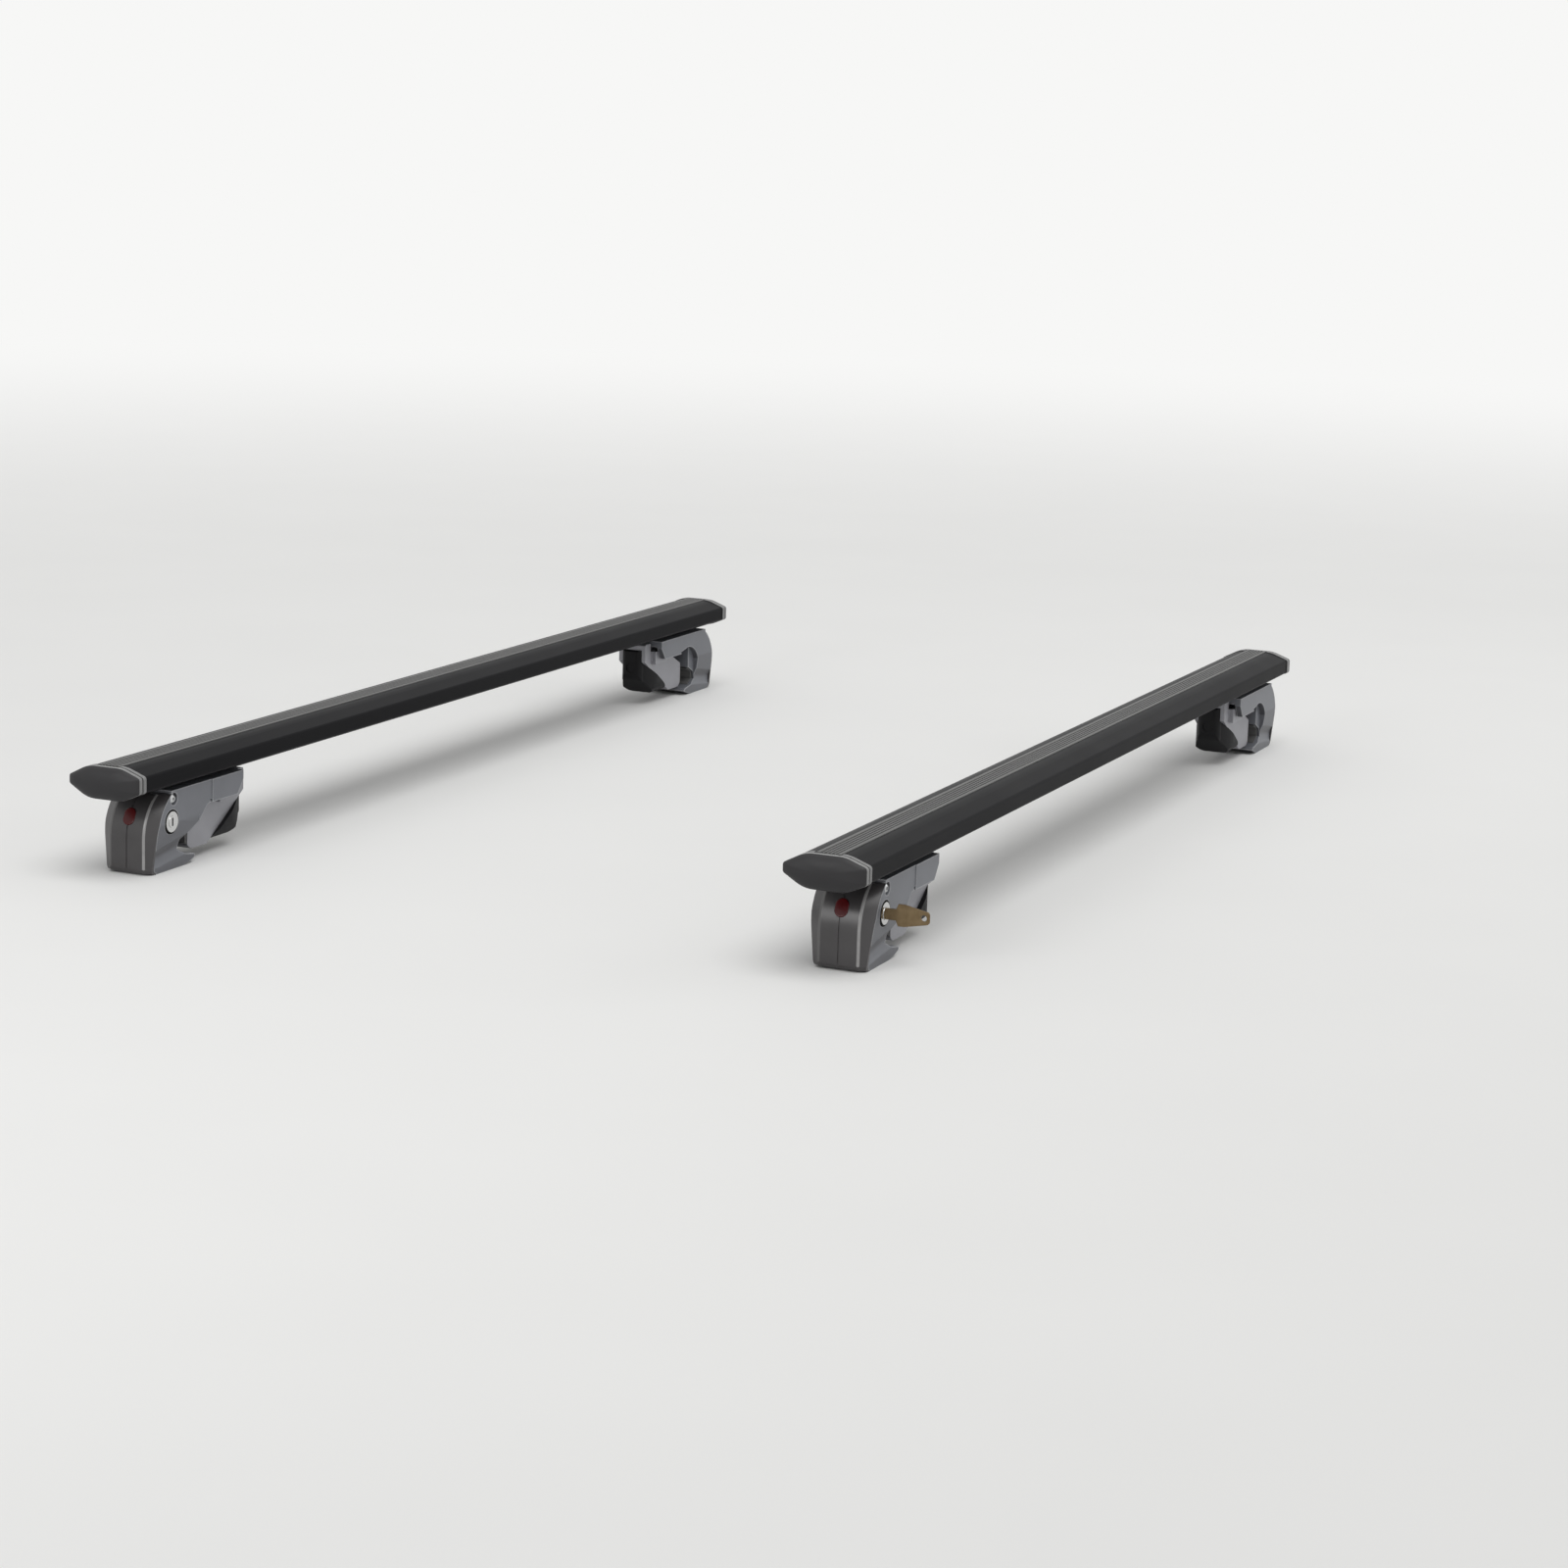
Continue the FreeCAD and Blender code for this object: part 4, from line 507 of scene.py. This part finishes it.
# The ridges carry a pale, glossier painted highlight, bright on the lock's side and dim on the other.
RIDGE_MOTTLE = 0.008
BRIGHT_SIDE_BLEND = 0.05         # blend from the dim ridge to the bright one on the lock's side
ridge_highlight_paint, tree = start_finish("moulded_plastic_painted_ridge_highlight")
place = add_node(tree, "ShaderNodeTexCoord")
rub_and_highlight = add_node(tree, "ShaderNodeTexNoise", {"Scale": 1 / RIDGE_MOTTLE, "Detail": 3.0},
               {"Vector": place.outputs["Object"]})
tone = add_node(tree, "ShaderNodeMix", {"data_type": "RGBA", 6: linear("#858484"), 7: linear("#9e9d9d")},
                {0: rub_and_highlight.outputs[0]})
# Painted highlight: the ridge on the lock's side is pale, the other is dimmed to #5c5b5b, as if lit from one
# side.
facing = add_node(tree, "ShaderNodeSeparateXYZ", None, {0: place.outputs["Normal"]})
side = add_node(tree, "ShaderNodeMath", {"operation": "MULTIPLY"},
                {0: facing.outputs["X"], 1: facing.outputs["Y"]})
reach = add_node(tree, "ShaderNodeMapRange", {"From Min": -BRIGHT_SIDE_BLEND, "From Max": BRIGHT_SIDE_BLEND},
                 {"Value": side.outputs[0]})
ridge_highlight_tone = add_node(tree, "ShaderNodeMix", {"data_type": "RGBA", 6: linear("#5c5b5b")},
                   {0: reach.outputs[0], 7: tone.outputs[2]})
rough = add_node(tree, "ShaderNodeMapRange", {"To Min": 0.18, "To Max": 0.28}, {"Value": rub_and_highlight.outputs[0]})
plastic = add_node(tree, "ShaderNodeBsdfPrincipled", {"IOR": 1.49},
                   {"Base Color": ridge_highlight_tone.outputs[2], "Roughness": rough.outputs[0]})
add_node(tree, "ShaderNodeOutputMaterial", None, {"Surface": plastic.outputs[0]})
for foot in FEET:
    rounded(f"{foot}_outer_cover", f"{foot}_cover", cover_plastic, COVER_EDGE, COVER_CREASE,
            ridge_highlight_paint, roll_ridges)

# Markers: small domed ovals of deep red gloss plastic, clipped into the covers.
# Moulded and a little translucent, so the colour deepens in soft swirls.
SWIRL = 0.006
marker_red, tree = start_finish("gloss_plastic_deep_red")
place = add_node(tree, "ShaderNodeTexCoord")
swirl = add_node(tree, "ShaderNodeTexNoise", {"Scale": 1 / SWIRL, "Detail": 2.0},
                 {"Vector": place.outputs["Object"]})
tone = add_node(tree, "ShaderNodeMix", {"data_type": "RGBA", 6: linear("#3f080b"), 7: linear("#560d10")},
                {0: swirl.outputs[0]})
rough = add_node(tree, "ShaderNodeMapRange", {"To Min": 0.14, "To Max": 0.24}, {"Value": swirl.outputs[0]})
gloss = add_node(tree, "ShaderNodeBsdfPrincipled", {"IOR": 1.5, "Specular IOR Level": 0.35},
                 {"Base Color": tone.outputs[2], "Roughness": rough.outputs[0]})
add_node(tree, "ShaderNodeOutputMaterial", None, {"Surface": gloss.outputs[0]})
for foot in FEET:
    dress(f"{foot}_marker", marker_red)

# Locks: nickel-plated brass barrel and plug, turned and lightly buffed, pressed into the cheek.
# Bright, with fine scuffs from keys.
SCUFF = 0.0012
nickel, tree = start_finish("nickel_plated_brass_buffed")
place = add_node(tree, "ShaderNodeTexCoord")
scuff = add_node(tree, "ShaderNodeTexNoise", {"Scale": 1 / SCUFF, "Detail": 4.0},
                 {"Vector": place.outputs["Object"]})
tone = add_node(tree, "ShaderNodeMix", {"data_type": "RGBA", 6: linear("#c4c4c4"), 7: linear("#d8d8d7")},
                {0: scuff.outputs[0]})
rough = add_node(tree, "ShaderNodeMapRange", {"To Min": 0.14, "To Max": 0.3}, {"Value": scuff.outputs[0]})
bump = add_node(tree, "ShaderNodeBump", {"Strength": 0.2, "Distance": 0.00002}, {"Height": scuff.outputs[0]})
plate = add_node(tree, "ShaderNodeBsdfPrincipled", {"Metallic": 1.0},
                 {"Base Color": tone.outputs[2], "Roughness": rough.outputs[0], "Normal": bump.outputs[0]})
add_node(tree, "ShaderNodeOutputMaterial", None, {"Surface": plate.outputs[0]})
for foot in FEET:
    dress(f"{foot}_lock_barrel", nickel)
    dress(f"{foot}_lock_plug", nickel)

# Lock gaskets: black rubber rings pressed into the recess round each lock to keep water out.
# Dull nitrile rubber; the round-shouldered section is turned about the lock's axis.
GASKET_IN = 0.0097
GASKET_OUT = 0.0113
GASKET_DEEP = 0.0023
GASKET_SET = 0.0005      # the ring lies this much below the face of the lock
GASKET_EASE = 0.0004
GASKET_STEPS = 64
RUBBER_BLOOM = 0.004
gasket_rubber, tree = start_finish("nitrile_rubber_black")
place = add_node(tree, "ShaderNodeTexCoord")
bloom = add_node(tree, "ShaderNodeTexNoise", {"Scale": 1 / RUBBER_BLOOM, "Detail": 2.0},
                 {"Vector": place.outputs["Object"]})
tone = add_node(tree, "ShaderNodeMix", {"data_type": "RGBA", 6: linear("#0b0b0b"), 7: linear("#131313")},
                {0: bloom.outputs[0]})
rough = add_node(tree, "ShaderNodeMapRange", {"To Min": 0.65, "To Max": 0.8}, {"Value": bloom.outputs[0]})
rubber = add_node(tree, "ShaderNodeBsdfPrincipled", {"IOR": 1.5, "Specular IOR Level": 0.1},
                  {"Base Color": tone.outputs[2], "Roughness": rough.outputs[0]})
add_node(tree, "ShaderNodeOutputMaterial", None, {"Surface": rubber.outputs[0]})
for foot in FEET:
    low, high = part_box(f"{foot}_lock_barrel")
    outward = -1 if foot.endswith("left") else 1
    cheek = (low.y if outward < 0 else high.y) - outward * GASKET_SET
    middle = Vector(((low.x + high.x) / 2, 0, (low.z + high.z) / 2))
    section = [(GASKET_IN, GASKET_DEEP), (GASKET_IN, GASKET_EASE), (GASKET_IN + GASKET_EASE, 0.0),
               (GASKET_OUT - GASKET_EASE, 0.0), (GASKET_OUT, GASKET_EASE), (GASKET_OUT, GASKET_DEEP)]
    shape = bmesh.new()
    loops = []
    for step in range(GASKET_STEPS):
        turn = math.tau * step / GASKET_STEPS
        loops.append([shape.verts.new(middle + Vector((math.cos(turn) * radius, cheek - outward * deep,
                                                       math.sin(turn) * radius)))
                      for radius, deep in section])
    for one, two in zip(loops, loops[1:] + loops[:1]):
        for index in range(len(section)):
            after = (index + 1) % len(section)
            shape.faces.new((one[index], one[after], two[after], two[index])).smooth = True
    bmesh.ops.recalc_face_normals(shape, faces=shape.faces)
    data = bpy.data.meshes.new(f"{foot}_lock_gasket")
    shape.to_mesh(data)
    shape.free()
    data.materials.append(gasket_rubber)
    piece = bpy.data.objects.new(f"{foot}_lock_gasket", data)
    bpy.context.collection.objects.link(piece)
    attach(piece, f"{foot}_foot")

# Key: stamped brass, left in the rear left lock, its bow tapering to a hole.
# Handled brass, browner in patches and dulled by fingers.
KEY_EDGE = 0.0003
PATINA = 0.007
key_brass, tree = start_finish("stamped_brass_handled")
place = add_node(tree, "ShaderNodeTexCoord")
patina = add_node(tree, "ShaderNodeTexNoise", {"Scale": 1 / PATINA, "Detail": 4.0},
                  {"Vector": place.outputs["Object"]})
scratch = add_node(tree, "ShaderNodeTexNoise", {"Scale": 1 / SCUFF, "Detail": 3.0},
                   {"Vector": place.outputs["Object"]})
tone = add_node(tree, "ShaderNodeMix", {"data_type": "RGBA", 6: linear("#877559"), 7: linear("#5f4f38")},
                {0: patina.outputs[0]})
rough = add_node(tree, "ShaderNodeMapRange", {"To Min": 0.3, "To Max": 0.52}, {"Value": patina.outputs[0]})
bump = add_node(tree, "ShaderNodeBump", {"Strength": 0.3, "Distance": 0.00003},
                {"Height": scratch.outputs[0]})
brass = add_node(tree, "ShaderNodeBsdfPrincipled", {"Metallic": 0.85},
                 {"Base Color": tone.outputs[2], "Roughness": rough.outputs[0], "Normal": bump.outputs[0]})
add_node(tree, "ShaderNodeOutputMaterial", None, {"Surface": brass.outputs[0]})
rounded("key", "rear_left_lock", key_brass, KEY_EDGE)

# Bolts, screws and channel nuts: rolled and headed steel with a bright zinc plate.
# The plating leaves a slight mottle.
PLATING = 0.002
zinc_steel, tree = start_finish("zinc_plated_steel")
place = add_node(tree, "ShaderNodeTexCoord")
mottle = add_node(tree, "ShaderNodeTexNoise", {"Scale": 1 / PLATING, "Detail": 3.0},
                  {"Vector": place.outputs["Object"]})
tone = add_node(tree, "ShaderNodeMix", {"data_type": "RGBA", 6: linear("#bcbdbe"), 7: linear("#cfd0d0")},
                {0: mottle.outputs[0]})
rough = add_node(tree, "ShaderNodeMapRange", {"To Min": 0.22, "To Max": 0.36}, {"Value": mottle.outputs[0]})
plate = add_node(tree, "ShaderNodeBsdfPrincipled", {"Metallic": 1.0},
                 {"Base Color": tone.outputs[2], "Roughness": rough.outputs[0]})
add_node(tree, "ShaderNodeOutputMaterial", None, {"Surface": plate.outputs[0]})
for foot in FEET:
    for fastener in ("clamp_bolt", "screws", "channel_nut"):
        dress(f"{foot}_{fastener}", zinc_steel)

# Jaws: die-cast aluminium left as cast, drawn along between the cheeks by the clamp bolt.
# A pale dull grey with the faint pebble of the die; brighter along the edges, partly rubbed metal and partly
# a painted highlight.
PEBBLE = 0.0016
CAST_CLOUD = 0.02
JAW_RUB_HIGHLIGHT_REACH = 1.2 * EDGE_ROUND
raw_casting, tree = start_finish("die_cast_aluminium")
place = add_node(tree, "ShaderNodeTexCoord")
pebble = add_node(tree, "ShaderNodeTexNoise", {"Scale": 1 / PEBBLE, "Detail": 3.0},
                  {"Vector": place.outputs["Object"]})
cloud = add_node(tree, "ShaderNodeTexNoise", {"Scale": 1 / CAST_CLOUD, "Detail": 3.0},
                 {"Vector": place.outputs["Object"]})
tone = add_node(tree, "ShaderNodeMix", {"data_type": "RGBA", 6: linear("#8b8b90"), 7: linear("#9d9da2")},
                {0: cloud.outputs[0]})
# Pale edges: partly rubbed metal, partly a painted highlight on the convex edges.
arris = add_node(tree, "ShaderNodeAmbientOcclusion", {"samples": 8, "inside": True, "only_local": True,
                                                      "Distance": JAW_RUB_HIGHLIGHT_REACH})
rub_and_highlight = add_node(tree, "ShaderNodeMapRange", {"From Min": RUB_HIGHLIGHT_FROM, "From Max": RUB_HIGHLIGHT_FULL, "To Max": 0.6},
               {"Value": arris.outputs["AO"]})
rubbed_and_highlit = add_node(tree, "ShaderNodeMix", {"data_type": "RGBA", 7: linear("#b9b9bd")},
                  {0: rub_and_highlight.outputs[0], 6: tone.outputs[2]})
rough = add_node(tree, "ShaderNodeMapRange", {"To Min": 0.42, "To Max": 0.55}, {"Value": cloud.outputs[0]})
soft = add_node(tree, "ShaderNodeBevel", {"samples": 6, "Radius": EDGE_ROUND})
bump = add_node(tree, "ShaderNodeBump", {"Strength": 0.4, "Distance": 0.0001},
                {"Height": pebble.outputs[0], "Normal": soft.outputs[0]})
casting = add_node(tree, "ShaderNodeBsdfPrincipled", {"Metallic": 0.4},
                   {"Base Color": rubbed_and_highlit.outputs[2], "Roughness": rough.outputs[0],
                    "Normal": bump.outputs[0]})
add_node(tree, "ShaderNodeOutputMaterial", None, {"Surface": casting.outputs[0]})
for foot in FEET:
    rounded(f"{foot}_jaw", f"{foot}_jaw", raw_casting, CAST_EDGE)

# Jaw covers: moulded black plastic bulbs pushed onto the inboard side of each jaw.
# Carbon-filled nylon, deeper black and duller than the end caps, with a coarse spark texture.
NYLON_EDGE = 0.0012
NYLON_SPARK = 0.002      # about 0.7 mm in the mould, drawn coarser so that it shows
nylon_black, tree = start_finish("moulded_nylon_deep_black")
place = add_node(tree, "ShaderNodeTexCoord")
spark = add_node(tree, "ShaderNodeTexNoise", {"Scale": 1 / NYLON_SPARK, "Detail": 3.0},
                 {"Vector": place.outputs["Object"]})
flow = add_node(tree, "ShaderNodeTexNoise", {"Scale": 1 / MELT_FLOW, "Detail": 2.0},
                {"Vector": place.outputs["Object"]})
tone = add_node(tree, "ShaderNodeMix", {"data_type": "RGBA", 6: linear("#0d0d0f"), 7: linear("#151517")},
                {0: flow.outputs[0]})
rough = add_node(tree, "ShaderNodeMapRange", {"To Min": 0.5, "To Max": 0.62}, {"Value": flow.outputs[0]})
bump = add_node(tree, "ShaderNodeBump", {"Strength": 0.5, "Distance": 0.0001}, {"Height": spark.outputs[0]})
plastic = add_node(tree, "ShaderNodeBsdfPrincipled", {"IOR": 1.53, "Specular IOR Level": 0.18},
                   {"Base Color": tone.outputs[2], "Roughness": rough.outputs[0], "Normal": bump.outputs[0]})
add_node(tree, "ShaderNodeOutputMaterial", None, {"Surface": plastic.outputs[0]})
for foot in FEET:
    rounded(f"{foot}_jaw_cover", f"{foot}_jaw", nylon_black, NYLON_EDGE)

# Studio: a pale floor that fades into a white surround, soft light from above and the sides.
# The surround is white only to the eye and in reflections; the lamps stay at a plain level.
SURROUND = linear("#f7f7f6")
FADE_FROM = 1.6          # distances over which the floor turns white
FADE_TO = 6.0
FLOOR_MOTTLE = 0.25
FLOOR_SIZE = 60
floor_paint, tree = start_finish("pale_floor_paint")
place = add_node(tree, "ShaderNodeTexCoord")
mottle = add_node(tree, "ShaderNodeTexNoise", {"Scale": 1 / FLOOR_MOTTLE, "Detail": 2.0},
                  {"Vector": place.outputs["Object"]})
tone = add_node(tree, "ShaderNodeMix", {"data_type": "RGBA", 6: linear("#e6e6e5"), 7: linear("#e9e9e8")},
                {0: mottle.outputs[0]})
paint = add_node(tree, "ShaderNodeBsdfPrincipled", {"Roughness": 0.8, "Specular IOR Level": 0.2},
                 {"Base Color": tone.outputs[2]})
glow = add_node(tree, "ShaderNodeEmission", {"Color": SURROUND, "Strength": 1.0})
away = add_node(tree, "ShaderNodeVectorMath", {"operation": "LENGTH"}, {0: place.outputs["Object"]})
fade = add_node(tree, "ShaderNodeMapRange", {"interpolation_type": "SMOOTHSTEP", "From Min": FADE_FROM,
                                             "From Max": FADE_TO}, {"Value": away.outputs["Value"]})
ray = add_node(tree, "ShaderNodeLightPath")
seen = add_node(tree, "ShaderNodeMath", {"operation": "MAXIMUM"},
                {0: ray.outputs["Is Camera Ray"], 1: ray.outputs["Is Glossy Ray"]})
shown = add_node(tree, "ShaderNodeMath", {"operation": "MAXIMUM"},
                 {0: seen.outputs[0], 1: ray.outputs["Is Transmission Ray"]})
share = add_node(tree, "ShaderNodeMath", {"operation": "MULTIPLY"},
                 {0: fade.outputs[0], 1: shown.outputs[0]})
blend = add_node(tree, "ShaderNodeMixShader", None,
                 {0: share.outputs[0], 1: paint.outputs[0], 2: glow.outputs[0]})
add_node(tree, "ShaderNodeOutputMaterial", None, {"Surface": blend.outputs[0]})
bpy.ops.mesh.primitive_plane_add(size=FLOOR_SIZE)
floor = bpy.context.object
floor.name = "studio_floor"
floor.data.materials.append(floor_paint)

SKY_LIGHT = 0.5
world = bpy.data.worlds.new("studio")
world.use_nodes = True
bpy.context.scene.world = world
tree = world.node_tree
tree.nodes.clear()
ray = add_node(tree, "ShaderNodeLightPath")
seen = add_node(tree, "ShaderNodeMath", {"operation": "MAXIMUM"},
                {0: ray.outputs["Is Camera Ray"], 1: ray.outputs["Is Glossy Ray"]})
shown = add_node(tree, "ShaderNodeMath", {"operation": "MAXIMUM"},
                 {0: seen.outputs[0], 1: ray.outputs["Is Transmission Ray"]})
level = add_node(tree, "ShaderNodeMapRange", {"To Min": SKY_LIGHT, "To Max": 1.0},
                 {"Value": shown.outputs[0]})
sky = add_node(tree, "ShaderNodeBackground", {"Color": SURROUND}, {"Strength": level.outputs[0]})
add_node(tree, "ShaderNodeOutputWorld", None, {"Surface": sky.outputs[0]})

sun = bpy.data.lights.new("high_softbox", "SUN")
sun.energy = 1.5
sun.angle = math.radians(50)
item = bpy.data.objects.new("high_softbox", sun)
item.rotation_euler = Vector((0.25, 0.35, -1.0)).to_track_quat("-Z", "Y").to_euler()
bpy.context.collection.objects.link(item)
for name, spot, aim, wide, beam, power in (
        ("end_light", (-2.8, 0.6, 1.0), (-0.6, 0.0, 0.08), 0.9, 80, 2.4),
        ("far_side", (1.6, -2.4, 1.0), (0.4, -0.2, 0.05), 1.4, 90, 2.1)):
    lamp = bpy.data.lights.new(name, "AREA")
    lamp.size = wide
    lamp.spread = math.radians(beam)    # a grid on each lamp keeps it off the floor beneath
    lamp.energy = power
    item = bpy.data.objects.new(name, lamp)
    item.location = spot
    item.rotation_euler = (Vector(aim) - Vector(spot)).to_track_quat("-Z", "Y").to_euler()
    item.visible_camera = False
    bpy.context.collection.objects.link(item)

# Camera: at the photograph's angle, a little rolled, looking down the bars from one end.
AZIMUTH = math.radians(-66.128)
ELEVATION = math.radians(10.143)
ROLL = 0.02819
DISTANCE = 3.6192
AIM = Vector((0, 0, 0.090))
back = Vector((math.sin(AZIMUTH) * math.cos(ELEVATION), -math.cos(AZIMUTH) * math.cos(ELEVATION),
               math.sin(ELEVATION)))
right = (-back).cross(Vector((0, 0, 1))).normalized()
up = right.cross(-back)
turned_right = math.cos(ROLL) * right + math.sin(ROLL) * up
turned_up = -math.sin(ROLL) * right + math.cos(ROLL) * up
lens = bpy.data.cameras.new("photo_camera")
lens.lens = 81.90
lens.sensor_width = 36
lens.shift_x = 0.02231
lens.shift_y = -0.04328
camera = bpy.data.objects.new("photo_camera", lens)
camera.matrix_world = Matrix.Translation(AIM + back * DISTANCE) @ \
    Matrix((turned_right, turned_up, back)).transposed().to_4x4()
bpy.context.collection.objects.link(camera)
bpy.context.scene.camera = camera
bpy.context.scene.view_settings.view_transform = "Standard"
